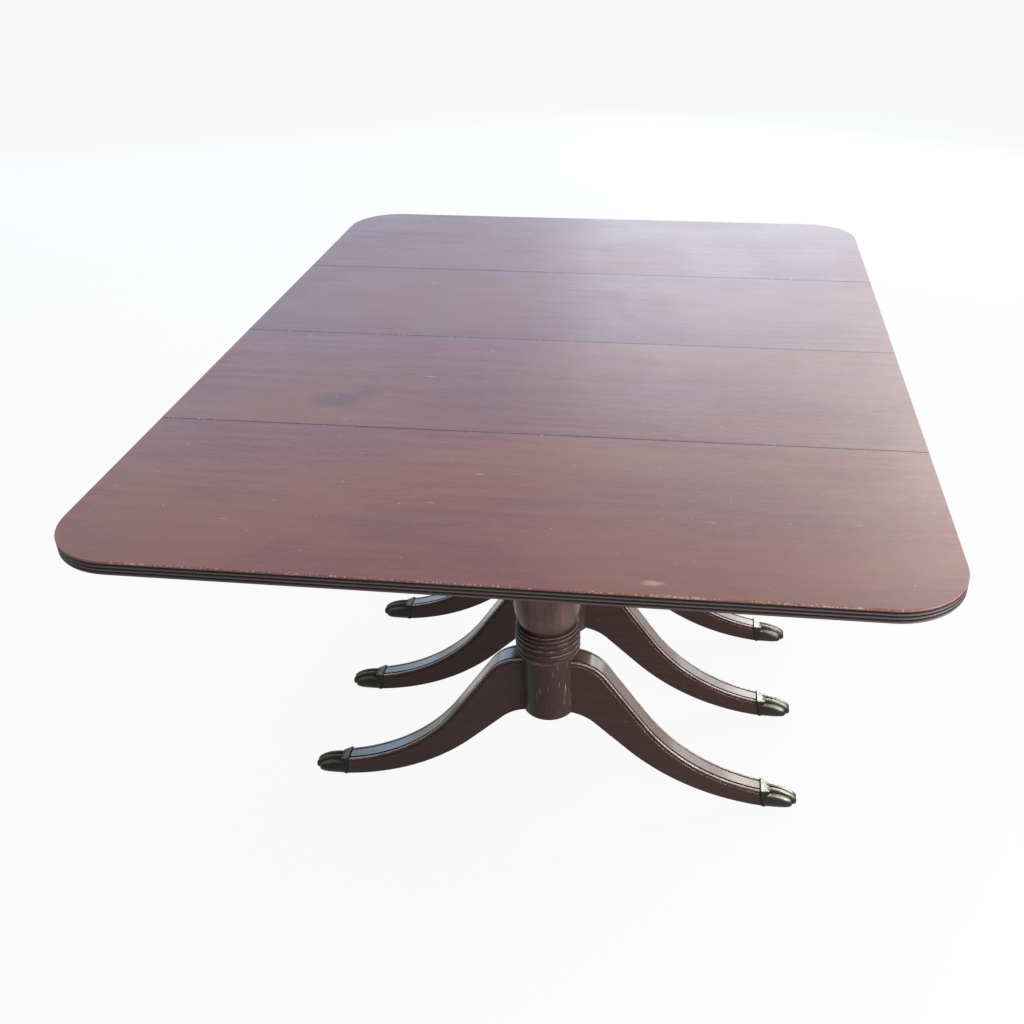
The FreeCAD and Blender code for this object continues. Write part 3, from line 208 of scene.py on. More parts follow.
class PawSizes(bpy.types.PropertyGroup):
    """Sizes of a cast paw."""

    slant: length_prop("Back slant", "How far the foot of the back face stands out from its top", 0.006)
    joint: length_prop("Joint height", "Height of the top of the leg where the paw meets it", 0.035)
    socket_half: length_prop("Socket half width", "Half width of the socket behind the toes", 0.0158)
    socket_run: length_prop("Socket length", "Length of the socket at its top", 0.017)
    socket_drop: length_prop("Socket drop", "How far the socket falls towards the toes", 0.0036)
    socket_taper: share_prop("Socket taper", "Width of the socket at the toes, as a share of its back", 0.70)
    rim: length_prop("Rim", "Length of the raised rim at the back of the socket", 0.0042)
    rim_proud: length_prop("Rim height", "How far the rim stands proud of the socket", 0.0007)
    side_toe: length_prop("Side toe half width", "Half width of each of the two side toes", 0.0094)
    side_place: length_prop("Side toe place", "Distance of a side toe from the centre line", 0.0102)
    side_reach: length_prop("Side toe reach", "How far a side toe ends short of the tip of the paw", 0.0075)
    middle_toe: length_prop("Middle toe half width", "Half width of each of the two middle toes", 0.0060)
    middle_place: length_prop("Middle toe place", "Distance of a middle toe from the centre line", 0.0047)
    stub_half: length_prop("Stub half width", "Half width of the hollow for the stub of the leg", 0.0112)
    stub_low: length_prop("Stub foot", "Height of the floor of the hollow", 0.0068)
    stub_high: length_prop("Stub head", "Height of the roof of the hollow", 0.0262)
    stub_reach: length_prop("Stub reach", "Depth of the hollow", 0.0303)
    skin: length_prop("Skin step", "Step of the cast skin", 0.0007)


class StageSettings(bpy.types.PropertyGroup):
    """Floor, light and camera."""

    floor: colour_prop("Floor", "Colour of the floor", (0.720, 0.720, 0.720))
    floor_glow: share_prop("Floor glow", "Share of plain white in the floor as it is seen", 0.92)
    room: number_prop("Room", "Strength of the soft light from the sides", 0.06)
    ceiling: number_prop("Ceiling", "How much stronger the soft light is straight above", 0.24)
    low: power_prop("Low fill", "Power of the low soft light in front on the right", 42.0)
    sky: power_prop("Sky", "Power of the wide cool light behind", 114.0)
    window: power_prop("Window", "Power of the large soft light behind on the right", 148.0)
    key: power_prop("Key", "Power of the bright light behind on the right", 70.0)
    fill: power_prop("Fill", "Power of the soft light overhead", 25.0)
    lens: number_prop("Lens", "Focal length in millimetres", 38.08)
    shift_x: number_prop("Shift X", "Sideways shift of the picture", -0.0634)
    shift_y: number_prop("Shift Y", "Upward shift of the picture", -0.0097)
    eye: bpy.props.FloatVectorProperty(
        name="Eye",
        description="Place of the camera",
        subtype="TRANSLATION",
        default=(0.2158, -1.6252, 1.4280),
    )
    yaw: angle_prop("Yaw", "Turn of the camera to the left", 6.804)
    pitch: angle_prop("Pitch", "Downward tilt of the camera", 30.880)
    roll: angle_prop("Roll", "Roll of the camera", 0.512)


def is_socket(value):
    """Whether a value comes out of a node."""
    return isinstance(value, bpy.types.NodeSocket)


def plug(node, sockets):
    """Inputs of a node, each linked to a socket or set to a value."""
    for key, value in sockets.items():
        if is_socket(value):
            node.id_data.links.new(value, node.inputs[key])
        else:
            node.inputs[key].default_value = value


def add(kind, sockets, **settings):
    """Shader node in the tree of the sockets that it is plugged to."""
    tree = next(value.id_data for value in sockets.values() if is_socket(value))
    made = tree.nodes.new("ShaderNode" + kind)
    for name, value in settings.items():
        setattr(made, name, value)
    plug(made, sockets)
    return made


def maths(operation, first, second=0.0, third=0.0, clamp=False):
    """Result of a sum on values."""
    sockets = {0: first, 1: second, 2: third}
    return add("Math", sockets, operation=operation, use_clamp=clamp).outputs[0]


def plus(first, second, clamp=False):
    """Sum of two values."""
    return maths("ADD", first, second, clamp=clamp)


def minus(first, second, clamp=False):
    """Difference of two values."""
    return maths("SUBTRACT", first, second, clamp=clamp)


def times(first, second):
    """Product of two values."""
    return maths("MULTIPLY", first, second)


def larger(first, second):
    """Larger of two values."""
    return maths("MAXIMUM", first, second)


def vector_maths(operation, first, second):
    """Resulting vector of a sum on two vectors."""
    return add("VectorMath", {0: first, 1: second}, operation=operation).outputs[0]


def axes(vector):
    """The three parts of a vector."""
    return add("SeparateXYZ", {0: vector}).outputs


def rgba(colour):
    """Colour with full cover; a socket stays as it is."""
    return colour if is_socket(colour) else (*colour, 1.0)


def mixed(share, first, second):
    """Colour between two colours."""
    sockets = {0: share, 6: rgba(first), 7: rgba(second)}
    return add("Mix", sockets, data_type="RGBA").outputs[2]


def ramp(value, low, high, to_low=0.0, to_high=1.0):
    """Smooth step of a value from one range to another."""
    sockets = {"Value": value, "From Min": low, "From Max": high, "To Min": to_low, "To Max": to_high}
    return add("MapRange", sockets, interpolation_type="SMOOTHSTEP").outputs[0]


def noise(vector, scale, detail=3.0, roughness=0.55, distortion=0.0):
    """Value of a noise pattern."""
    sockets = {
        "Vector": vector, "Scale": scale, "Detail": detail, "Roughness": roughness, "Distortion": distortion
    }
    return add("TexNoise", sockets).outputs[0]


def stretched(vector, scales):
    """Vector scaled along each axis."""
    return vector_maths("MULTIPLY", vector, scales)


def upward_share(tree):
    """How far a surface faces upwards."""
    return axes(tree.nodes.new("ShaderNodeNewGeometry").outputs["Normal"])[2]


def across_pedestal(along):
    """Sideways distance from the middle of the nearest pedestal."""
    wrapped = maths("WRAP", along, PEDESTAL_PITCH / 2.0, -PEDESTAL_PITCH / 2.0)
    return maths("ABSOLUTE", wrapped)


def seen_share(tree):
    """One on rays from the camera, from reflections and through glass, nought on others."""
    path = tree.nodes.new("ShaderNodeLightPath").outputs
    seen = larger(path["Is Camera Ray"], path["Is Glossy Ray"])
    return larger(seen, path["Is Transmission Ray"])


def new_group(name, inputs, outputs):
    """Inner ends of a new shader group; an input is a number, or a vector where its default is None."""
    tree = bpy.data.node_groups.new(name, "ShaderNodeTree")
    for socket, default in {"Vector": None, **inputs}.items():
        kind = "NodeSocketVector" if default is None else "NodeSocketFloat"
        made = tree.interface.new_socket(socket, in_out="INPUT", socket_type=kind)
        if default is not None:
            made.default_value = default
    for socket in outputs:
        tree.interface.new_socket(socket, in_out="OUTPUT", socket_type="NodeSocketFloat")
    return tree.nodes.new("NodeGroupInput").outputs, tree.nodes.new("NodeGroupOutput")


def use_group(name, sockets):
    """Group placed in a tree with its own values, built at its first use."""
    if name not in bpy.data.node_groups:
        GROUP_BUILDERS[name]()
    return add("Group", sockets, node_tree=bpy.data.node_groups[name]).outputs


def build_grain_group():
    """Streaks, pores and clouds of wood whose grain runs along X."""
    inputs = {"Bands": 45.0, "Length": 2.2}
    inlet, outlet = new_group("Wood grain", inputs, ["Tone", "Pores", "Clouds"])
    scale = add("CombineXYZ", {0: inlet["Length"], 1: inlet["Bands"], 2: inlet["Bands"]}).outputs[0]
    run = vector_maths("MULTIPLY", inlet["Vector"], scale)
    broad = noise(run, 1.0, 4.0, 0.6, 0.5)
    fine = noise(stretched(run, (13.0, 6.0, 6.0)), 1.0, 3.0, 0.6)
    both = plus(times(broad, 0.5), times(fine, 0.5))
    pores = noise(stretched(run, (22.0, 34.0, 34.0)), 1.0, 1.0, 0.5)
    clouds = noise(stretched(inlet["Vector"], (2.0, 4.5, 4.5)), 1.0, 4.0, 0.6, 0.6)
    results = {
        "Tone": ramp(both, 0.34, 0.66),
        "Pores": ramp(pores, 0.62, 0.74),
        "Clouds": ramp(clouds, 0.34, 0.66),
    }
    plug(outlet, results)


def build_rim_group():
    """Distance inwards from the rounded outline of the top."""
    inputs = {"Half Width": HALF_WIDTH, "Half Length": HALF_LENGTH, "Corner": 0.0}
    inlet, outlet = new_group("Table rim", inputs, ["Distance"])
    spread = add("VectorMath", {0: inlet["Vector"]}, operation="ABSOLUTE").outputs[0]
    split = axes(spread)
    past_x = minus(split[0], minus(inlet["Half Width"], inlet["Corner"]))
    past_y = minus(split[1], minus(inlet["Half Length"], inlet["Corner"]))
    out_x = larger(past_x, 0.0)
    out_y = larger(past_y, 0.0)
    squares = plus(times(out_x, out_x), times(out_y, out_y))
    round_part = maths("SQRT", squares)
    flat_part = maths("MINIMUM", larger(past_x, past_y), 0.0)
    beyond = minus(plus(round_part, flat_part), inlet["Corner"])
    plug(outlet, {"Distance": times(beyond, -1.0)})


def build_wear_group():
    """Broken line of small chips along an edge, from the distance to that edge."""
    inputs = {"Distance": 1.0, "Width": 0.003, "Amount": 0.5}
    inlet, outlet = new_group("Edge wear", inputs, ["Mask"])
    near = minus(1.0, maths("DIVIDE", inlet["Distance"], inlet["Width"]), clamp=True)
    patches = noise(inlet["Vector"], 9.0, 3.0, 0.6)
    chips = noise(inlet["Vector"], 420.0, 2.0, 0.6)
    broken = plus(times(patches, 0.45), times(chips, 0.55))
    lean = plus(broken, times(near, 0.10))
    level = minus(0.90, times(inlet["Amount"], 0.5))
    shown = ramp(minus(lean, level), -0.015, 0.03)
    plug(outlet, {"Mask": times(shown, ramp(near, 0.0, 0.2))})


def build_speck_group(name="Specks", dimensions="3D"):
    """Scattered small specks and soft handling smudges."""
    inlet, outlet = new_group(name, {"Per Metre": 30.0, "Size": 0.05}, ["Specks", "Smudges"])
    sockets = {"Vector": inlet["Vector"], "Scale": inlet["Per Metre"], "Randomness": 1.0}
    cells = add("TexVoronoi", sockets, voronoi_dimensions=dimensions)
    chosen = add("SeparateColor", {0: cells.outputs["Color"]}).outputs
    radius = times(chosen[1], inlet["Size"])
    dot = maths("LESS_THAN", cells.outputs["Distance"], radius)
    kept = maths("GREATER_THAN", chosen[0], 0.62)
    soft = noise(inlet["Vector"], 7.0, 5.0, 0.62, 0.8)
    plug(outlet, {"Specks": times(dot, kept), "Smudges": ramp(soft, 0.35, 0.70)})


def build_flat_speck_group():
    """Specks scattered over a level board."""
    build_speck_group("Flat specks", "2D")


def build_mark_group():
    """Soft uneven mark round one point of a board."""
    inputs = {"Centre": None, "Half Size": None, "Break": 0.5}
    inlet, outlet = new_group("Mark", inputs, ["Mask"])
    away = vector_maths("SUBTRACT", inlet["Vector"], inlet["Centre"])
    away = vector_maths("DIVIDE", away, inlet["Half Size"])
    flat = vector_maths("MULTIPLY", away, (1.0, 1.0, 0.0))
    distance = add("VectorMath", {0: flat}, operation="LENGTH").outputs["Value"]
    rough = times(noise(inlet["Vector"], 120.0, 4.0, 0.7), inlet["Break"])
    plug(outlet, {"Mask": ramp(plus(distance, rough), 0.55, 1.15, 1.0, 0.0)})


GROUP_BUILDERS = {
    "Wood grain": build_grain_group,
    "Table rim": build_rim_group,
    "Edge wear": build_wear_group,
    "Specks": build_speck_group,
    "Flat specks": build_flat_speck_group,
    "Mark": build_mark_group,
}


def new_material(name):
    """Material with its shader and Object coordinates."""
    material = bpy.data.materials.new(name)
    material.use_nodes = True
    tree = material.node_tree
    shader = tree.nodes["Principled BSDF"]
    coords = tree.nodes.new("ShaderNodeTexCoord").outputs["Object"]
    return material, shader, coords


def bumped(shader, height, strength, distance):
    """Fine relief on a shader."""
    bump = add("Bump", {"Strength": strength, "Distance": distance, "Height": height})
    plug(shader, {"Normal": bump.outputs[0]})


def dress(node, material):
    """Material on a part of the frame."""
    part = frame["nodes"][node]
    if not part.material_slots:
        part.data.materials.append(material)
    for slot in part.material_slots:
        slot.material = material


def select_only(*pieces):
    """Select these pieces and no others, with the first one active."""
    bpy.ops.object.select_all(action="DESELECT")
    for piece in pieces:
        piece.select_set(True)
    if pieces:
        bpy.context.view_layer.objects.active = pieces[0]


def edit_all():
    """Edit mode with the whole active mesh selected."""
    bpy.ops.object.mode_set(mode="EDIT")
    bpy.ops.mesh.select_all(action="SELECT")


def nodes_in_slot(slot):
    """Names of the parts whose finish the record puts in a slot."""
    return [row["node"] for row in frame["record"]["subparts"] if row.get("material_slot") == slot]


# How much the patches and marks of the boards cover
FADED_COVER = 0.5
WARM_COVER = 0.55
PORE_COVER = 0.16
SPECK_COVER = 0.7
THIN_COVER = 0.55
NICK_COVER = 0.42
RUBBED_COVER = 0.8

# Heights and depths on the boards where one finish ends and the next begins
LEVEL_RISE = (TOP_Z - 0.0020, TOP_Z - 0.0006)
ARRIS_RISE = (TOP_Z - 0.0030, TOP_Z - 0.0012)
UNDERSIDE = UNDER_Z + 0.0002
SIDE_DEPTH = 0.0045
SEAM_WEAR_WIDTH = 0.0036
RIM_WEAR = 0.50
SEAM_WEAR = 0.47


def top_material(board, shift, finish):
    """Polish of one board: grain along its length, clouds, pores, specks, marks and rubbed edges, and
    painted shade on the reeded side.
    """
    material, shader, coords = new_material(board + "_polish")
    moved = add("Mapping", {"Vector": coords, "Location": shift}).outputs[0]
    grain = use_group("Wood grain", {"Vector": moved, "Bands": 60.0, "Length": 5.0})
    specks = use_group("Specks", {"Vector": moved, "Per Metre": 26.0, "Size": 0.04})
    turned = add("Mapping", {"Vector": moved, "Rotation": (0.0, 0.0, 0.12), "Scale": (0.25, 1.0, 1.0)})
    dent = {"Vector": turned.outputs[0], "Per Metre": 15.0, "Size": 0.026}
    dents = use_group("Flat specks", dent)["Specks"]
    fleck = {"Vector": vector_maths("ADD", moved, (0.5, 0.3, 0.0)), "Per Metre": 25.0, "Size": 0.034}
    flecks = use_group("Flat specks", fleck)["Specks"]
    split = axes(coords)
    rim = use_group("Table rim", {"Vector": coords, "Corner": finish.corner})["Distance"]

    colour = mixed(grain["Tone"], finish.deep, finish.light)
    colour = mixed(times(grain["Clouds"], FADED_COVER), colour, finish.faded)
    patches = noise(stretched(moved, (2.2, 4.0, 4.0)), 1.0, 3.0, 0.6, 0.5)
    patches = times(ramp(patches, 0.46, 0.66), WARM_COVER)
    colour = mixed(patches, colour, finish.warm)
    colour = mixed(times(grain["Pores"], PORE_COVER), colour, finish.speck)
    colour = mixed(times(specks["Specks"], SPECK_COVER), colour, finish.speck)
    for tint, centre, half_size, broken, cover in MARKS.get(board, ()):
        place = {"Vector": coords, "Centre": centre, "Half Size": half_size, "Break": broken}
        mark = times(use_group("Mark", place)["Mask"], cover)
        colour = mixed(mark, colour, getattr(finish, tint))

    # The reeded side is painted darker than the top: its crests take the edge colour, partly stain and
    # partly painted shade, and the quirks between the reeds take painted shade.
    level = ramp(split[2], *LEVEL_RISE)
    on_side = times(minus(1.0, level), maths("LESS_THAN", rim, SIDE_DEPTH))
    rise = maths("DIVIDE", minus(split[2], UNDER_Z), REED_HEIGHT)
    crest = ramp(maths("PINGPONG", rise, 0.5), 0.22, 0.42)
    side_stain_and_shade = mixed(crest, finish.quirk_shade_and_seam_dirt, finish.edge)
    colour = mixed(on_side, colour, side_stain_and_shade)

    along = maths("ABSOLUTE", split[1])
    to_leaf = maths("ABSOLUTE", minus(along, LEAF_SEAM))
    to_seam = maths("MINIMUM", to_leaf, along)
    line = ramp(to_seam, finish.seam_width * 0.6, finish.seam_width, 1.0, 0.0)
    colour = mixed(line, colour, finish.quirk_shade_and_seam_dirt)

    upper = ramp(split[2], *ARRIS_RISE)
    edge = {"Vector": coords, "Distance": rim, "Width": finish.rubbed_width, "Amount": RIM_WEAR}
    wear = use_group("Edge wear", edge)["Mask"]
    seam = {"Vector": moved, "Distance": to_seam, "Width": SEAM_WEAR_WIDTH, "Amount": SEAM_WEAR}
    seam_wear = use_group("Edge wear", seam)["Mask"]
    thin = ramp(rim, finish.rubbed_width * 0.5, finish.rubbed_width, THIN_COVER, 0.0)
    colour = mixed(times(thin, upper), colour, finish.arris)
    worn = times(larger(wear, seam_wear), upper)
    nicks = times(larger(dents, flecks), level)
    worn = larger(worn, times(nicks, NICK_COVER))
    colour = mixed(times(worn, RUBBED_COVER), colour, finish.rubbed)

    below = maths("LESS_THAN", split[2], UNDERSIDE)
    under = mixed(grain["Tone"], finish.deep, finish.under)
    colour = mixed(below, colour, under)

    rough = ramp(specks["Smudges"], 0.0, 1.0, finish.roughness - 0.012, finish.roughness + 0.018)
    dull = larger(larger(worn, below), times(on_side, 0.7))
    rough = plus(rough, times(dull, 0.3), clamp=True)
    relief = minus(times(grain["Tone"], 0.2), grain["Pores"])
    relief = minus(relief, times(worn, 1.5))
    bumped(shader, relief, 0.05, 0.0003)
    plug(shader, {"Base Color": colour, "Roughness": rough, "Specular IOR Level": finish.shine})
    return material


# How much the marks of the base and of the plain wood cover
CLOUD_COVER = 0.25
SCRATCH_COVER = 0.85
CREST_RUB_AND_HIGHLIGHT_COVER = 0.30
CHIP_COVER = 0.5
STREAK_COVER = 0.45
BEAD_RUB_AND_HIGHLIGHT_COVER = 0.8
LEG_CHIP_COVER = 0.4
OPEN_PORE_COVER = 0.4
SMUDGE_COVER = 0.35
BLUSH_RISE = (RING_TOP, RING_TOP + 0.03)
SCRATCH_FALL = (DRUM_TOP, DRUM_TOP + 0.01)


def base_material(name, finish, grain_turn):
    """Dark polish of the base with its fine grain, and the sockets that its details build on."""
    material, shader, coords = new_material(name)
    turned = add("Mapping", {"Vector": coords, "Rotation": grain_turn}).outputs[0]
    grain = use_group("Wood grain", {"Vector": turned, "Bands": 120.0, "Length": 7.0})
    colour = mixed(grain["Tone"], finish.deep, finish.light)
    colour = mixed(times(grain["Clouds"], CLOUD_COVER), colour, finish.deep)
    bumped(shader, grain["Tone"], 0.03, 0.0004)
    plug(shader, {"Specular IOR Level": finish.shine})
    return material, shader, coords, colour


def column_material(finish):
    """Turned column: grain upright, thin stain above the rings, pale scratches and rubbed ring crests that
    carry a painted highlight.
    """
    material, shader, coords, colour = base_material("column_polish", finish, (0.0, QUARTER, 0.0))
    blush = noise(stretched(coords, (36.0, 36.0, 5.0)), 1.0, 4.0, 0.6)
    blush = ramp(blush, 0.20, 0.85)
    height = axes(coords)[2]
    thin = ramp(height, *BLUSH_RISE)
    colour = mixed(times(blush, thin), colour, finish.blush)
    specks = use_group("Specks", {"Vector": coords, "Per Metre": 60.0, "Size": 0.05})
    lines = noise(stretched(coords, (420.0, 420.0, 22.0)), 1.0, 2.0, 0.6)
    where = ramp(noise(coords, 18.0, 3.0, 0.6), 0.38, 0.56)
    where = times(where, ramp(height, *SCRATCH_FALL, 1.0, 0.25))
    mark = times(times(ramp(lines, 0.63, 0.70), where), SCRATCH_COVER)
    colour = mixed(mark, colour, finish.scratch)
    # The ring crests take pale rubbed wood in patches: wear, and a painted highlight.
    above = maths("DIVIDE", minus(height, DRUM_TOP), RING_HEIGHT)
    tallest = 1.0 + RING_GRADE
    slowing = 2.0 * RING_GRADE / RING_COUNT
    under_root = minus(tallest ** 2, times(above, 2.0 * slowing))
    rise = minus(tallest, maths("SQRT", larger(under_root, 0.0)))
    rise = maths("DIVIDE", rise, slowing)
    crest = maths("PINGPONG", rise, 0.5)
    crest = times(ramp(crest, 0.36, 0.48), maths("GREATER_THAN", rise, 0.0))
    crest = times(crest, maths("LESS_THAN", rise, RING_COUNT))
    chips = noise(stretched(coords, (60.0, 60.0, 200.0)), 1.0, 3.0, 0.6)
    crest = times(times(crest, ramp(chips, 0.44, 0.60)), CREST_RUB_AND_HIGHLIGHT_COVER)
    colour = mixed(crest, colour, finish.rubbed)
    colour = mixed(times(specks["Specks"], CHIP_COVER), colour, finish.rubbed)
    rough = ramp(specks["Smudges"], 0.0, 1.0, finish.roughness - 0.04, finish.roughness + 0.08)
    rough = plus(rough, times(mark, 0.2))
    plug(shader, {"Base Color": colour, "Roughness": rough})
    return material


def leg_material(finish):
    """Sabre leg: dark sides and, on top, a polished band with a painted sheen between two grooves of dirt
    and painted shade, with rubbed beads outside that carry a painted highlight.
    """
    material, shader, coords, colour = base_material("leg_polish", finish, UNTURNED)
    specks = use_group("Specks", {"Vector": coords, "Per Metre": 60.0, "Size": 0.05})
    split = axes(coords)
    upward = upward_share(material.node_tree)
    on_top = ramp(upward, 0.12, 0.35)
    out_x = minus(maths("ABSOLUTE", split[0]), LEG_ROOT_X)
    taper = (LEG_ROOT_HALF - finish.foot_half) / (PAW_LOW.x - LEG_ROOT_X)
    half = minus(LEG_ROOT_HALF, times(out_x, taper))
    inset = minus(half, across_pedestal(split[1]))
    groove_end = finish.bead + finish.groove_width
    # The band is painted a lighter brown than the sides: its polish, and a painted sheen on the top of the
    # leg.
    on_band = times(on_top, ramp(inset, groove_end, groove_end + 0.0006))
    streaks = noise(stretched(coords, (14.0, 520.0, 30.0)), 1.0, 2.0, 0.6)
    streaks = times(ramp(streaks, 0.50, 0.66), STREAK_COVER)
    colour = mixed(on_band, colour, mixed(streaks, finish.band, finish.deep))
    # The groove is painted near black: dirt, and painted shade in the recess.
    groove_dirt_and_shade = ramp(inset, finish.bead - 0.0004, finish.bead + 0.0002)
    before_band = ramp(inset, groove_end - 0.0002, groove_end + 0.0004, 1.0, 0.0)
    groove_dirt_and_shade = times(times(groove_dirt_and_shade, before_band), on_top)
    colour = mixed(groove_dirt_and_shade, colour, finish.groove)
    # The upward faces of the beads take pale rubbed wood: wear, and a painted highlight.
    bead = ramp(inset, finish.bead * 0.7, finish.bead * 0.9, 1.0, 0.0)
    patches = ramp(noise(coords, 26.0, 4.0, 0.65), 0.34, 0.55, 0.35, 1.0)
    bead = times(times(bead, ramp(upward, 0.30, 0.60)), patches)
    colour = mixed(times(bead, BEAD_RUB_AND_HIGHLIGHT_COVER), colour, finish.rubbed)
    colour = mixed(times(specks["Specks"], LEG_CHIP_COVER), colour, finish.rubbed)
    rough = ramp(specks["Smudges"], 0.0, 1.0, finish.roughness - 0.03, finish.roughness + 0.07)
    gloss = times(on_top, minus(1.0, groove_dirt_and_shade))
    plug(shader, {"Base Color": colour, "Roughness": rough})
    plug(shader, {"Coat Weight": gloss, "Coat Roughness": finish.lacquer})
    return material


def plain_material(name, finish, grain_turn, roughness):
    """Plain wood with open grain, for the parts under the top."""
    material, shader, coords = new_material(name)
    turned = add("Mapping", {"Vector": coords, "Rotation": grain_turn}).outputs[0]
    grain = use_group("Wood grain", {"Vector": turned, "Bands": 85.0, "Length": 3.5})
    specks = use_group("Specks", {"Vector": coords, "Per Metre": 24.0, "Size": 0.04})
    colour = mixed(grain["Tone"], finish.deep, finish.light)
    colour = mixed(times(grain["Pores"], OPEN_PORE_COVER), colour, finish.deep)
    colour = mixed(times(specks["Smudges"], SMUDGE_COVER), colour, finish.deep)
    rough = ramp(grain["Clouds"], 0.0, 1.0, roughness, roughness + 0.14)
    plug(shader, {"Base Color": colour, "Roughness": rough})
    bumped(shader, minus(grain["Tone"], grain["Pores"]), 0.2, 0.0005)
    return material


def metal_material(name, colour, tarnish, roughness):
    """Worn sheet metal with brushed scratches and tarnish."""
    material, shader, coords = new_material(name)
    specks = use_group("Specks", {"Vector": coords, "Per Metre": 260.0, "Size": 0.10})
    brushed = noise(stretched(coords, (60.0, 900.0, 900.0)), 1.0, 2.0, 0.6)
    blotch = ramp(noise(coords, 55.0, 5.0, 0.65), 0.38, 0.66)
    dull = larger(times(blotch, 0.6), specks["Specks"])
    rough = plus(roughness, times(dull, 0.25))
    rough = plus(rough, times(brushed, 0.12), clamp=True)
    worn = mixed(dull, colour, tarnish)
    plug(shader, {"Base Color": worn, "Metallic": 1.0, "Roughness": rough})
    bumped(shader, brushed, 0.15, 0.0002)
    return material


# Where the hair lines of a paw end, in reach and in height, their pitch and the dark line at the joint
HAIR_REACH = (0.016, 0.026)
HAIR_FOOT = (0.022, 0.027)
HAIR_PITCH = 0.0030
JOINT_LINE = (0.0014, 0.0022)

# How much dirt covers the paws, and the range of the crease mask that counts as a hollow
GRIME_COVER = 0.40
HAIR_COVER = 0.6
CAVITY = (0.478, 0.499)


def paw_material(name, finish, sizes, rub_and_painted_light):
    """Aged cast brass: rubbed high spots with a painted highlight, sides with painted shade, dark hollows, a
    plain rim and hair lines behind the toes.
    """
    material, shader, coords = new_material(name)
    split = axes(coords)
    out = across_pedestal(split[1])
    reach = minus(maths("ABSOLUTE", split[0]), PAW_LOW.x)
    lean = times(minus(PAW_HIGH.z, split[2]), sizes.slant / sizes.joint)
    from_joint = minus(reach, lean)
    behind = ramp(reach, *HAIR_REACH, 1.0, 0.0)
    behind = times(behind, ramp(from_joint, sizes.rim, sizes.rim + 0.001))
    behind = times(behind, ramp(split[2], *HAIR_FOOT))
    slant = plus(out, times(reach, 0.8))
    waves = maths("SINE", times(slant, 2.0 * math.pi / HAIR_PITCH))
    hair = times(ramp(waves, 0.0, 0.9), behind)
    cavity = material.node_tree.nodes.new("ShaderNodeVertexColor")
    cavity.layer_name = "cavity"
    depth = add("SeparateColor", {0: cavity.outputs[0]}).outputs[0]
    hollow = ramp(depth, *CAVITY, 1.0, 0.0)
    # Upward faces take the bright brass and the sides the near-black aged brass: rubbing, and a painted
    # highlight on the tops and painted shade on the sides.
    upward = upward_share(material.node_tree)
    rubbed = times(ramp(upward, 0.50, 0.80, 0.05, 1.0), rub_and_painted_light)
    grime = ramp(noise(coords, 160.0, 5.0, 0.65), 0.42, 0.70)
    brass = mixed(rubbed, finish.aged_and_shaded, finish.paw)
    dark = larger(hollow, times(grime, GRIME_COVER))
    dark = larger(dark, times(hair, HAIR_COVER))
    dark = larger(dark, ramp(from_joint, *JOINT_LINE, 1.0, 0.0))
    brass = mixed(dark, brass, finish.tarnish)
    rough = plus(0.36, times(dark, 0.28))
    plug(shader, {"Base Color": brass, "Metallic": 1.0, "Roughness": rough})
    relief = minus(times(grime, 0.25), hair)
    bumped(shader, relief, 0.5, 0.0006)
    return material


class TABLE_OT_polish_tops(bpy.types.Operator):
    """Polish the four boards of the top"""

    bl_idname = "table.polish_tops"
    bl_label = "Polish the Boards"

    def execute(self, context):
        finish = context.scene.table_top
        for board, shift in BOARDS.items():
            dress(board, top_material(board, shift, finish))
        return {"FINISHED"}


class TABLE_OT_stain_base(bpy.types.Operator):
    """Stain and polish the columns, legs, aprons and rails"""

    bl_idname = "table.stain_base"
    bl_label = "Stain the Base"

    def execute(self, context):
        finish = context.scene.table_base
        legs = leg_material(finish)
        columns = column_material(finish)
        for node in nodes_in_slot("base_wood"):
            dress(node, columns if node.endswith("column") else legs)
        return {"FINISHED"}


class TABLE_OT_plain_frame(bpy.types.Operator):
    """Finish the slides, bearers and dowels under the top"""

    bl_idname = "table.plain_frame"
    bl_label = "Finish the Frame"

    def execute(self, context):
        finish = context.scene.table_frame
        bearers = plain_material("bearer_wood", finish, UNTURNED, 0.55)
        slides = plain_material("slide_wood", finish, (0.0, 0.0, QUARTER), 0.50)
        for node in nodes_in_slot("inner_wood"):
            dress(node, slides if node.endswith("slide") else bearers)
        return {"FINISHED"}


class TABLE_OT_finish_fittings(bpy.types.Operator):
    """Finish the hinges, leaf stays and screws"""

    bl_idname = "table.finish_fittings"
    bl_label = "Finish the Fittings"

    def execute(self, context):
        finish = context.scene.table_metal
        metals = {
            "hinge_brass": (finish.hinge, 0.30),
            "stay_steel": (finish.stay, 0.38),
            "screw_steel": (finish.screw, 0.32),
        }
        for slot, (colour, roughness) in metals.items():
            material = metal_material(slot, colour, finish.tarnish, roughness)
            for node in nodes_in_slot(slot):
                dress(node, material)
        return {"FINISHED"}


# Steps and counts of the casting
SPARE = 0.006
RIM_STEP = 0.0002
TOE_START = 0.4
TOE_SIDES = 16
TOE_ROUNDING = 2
SMOOTH_PASSES = 5
DIRT_BLURS = 2
CUT_MERGE = 0.000001
MERGE = 0.00001

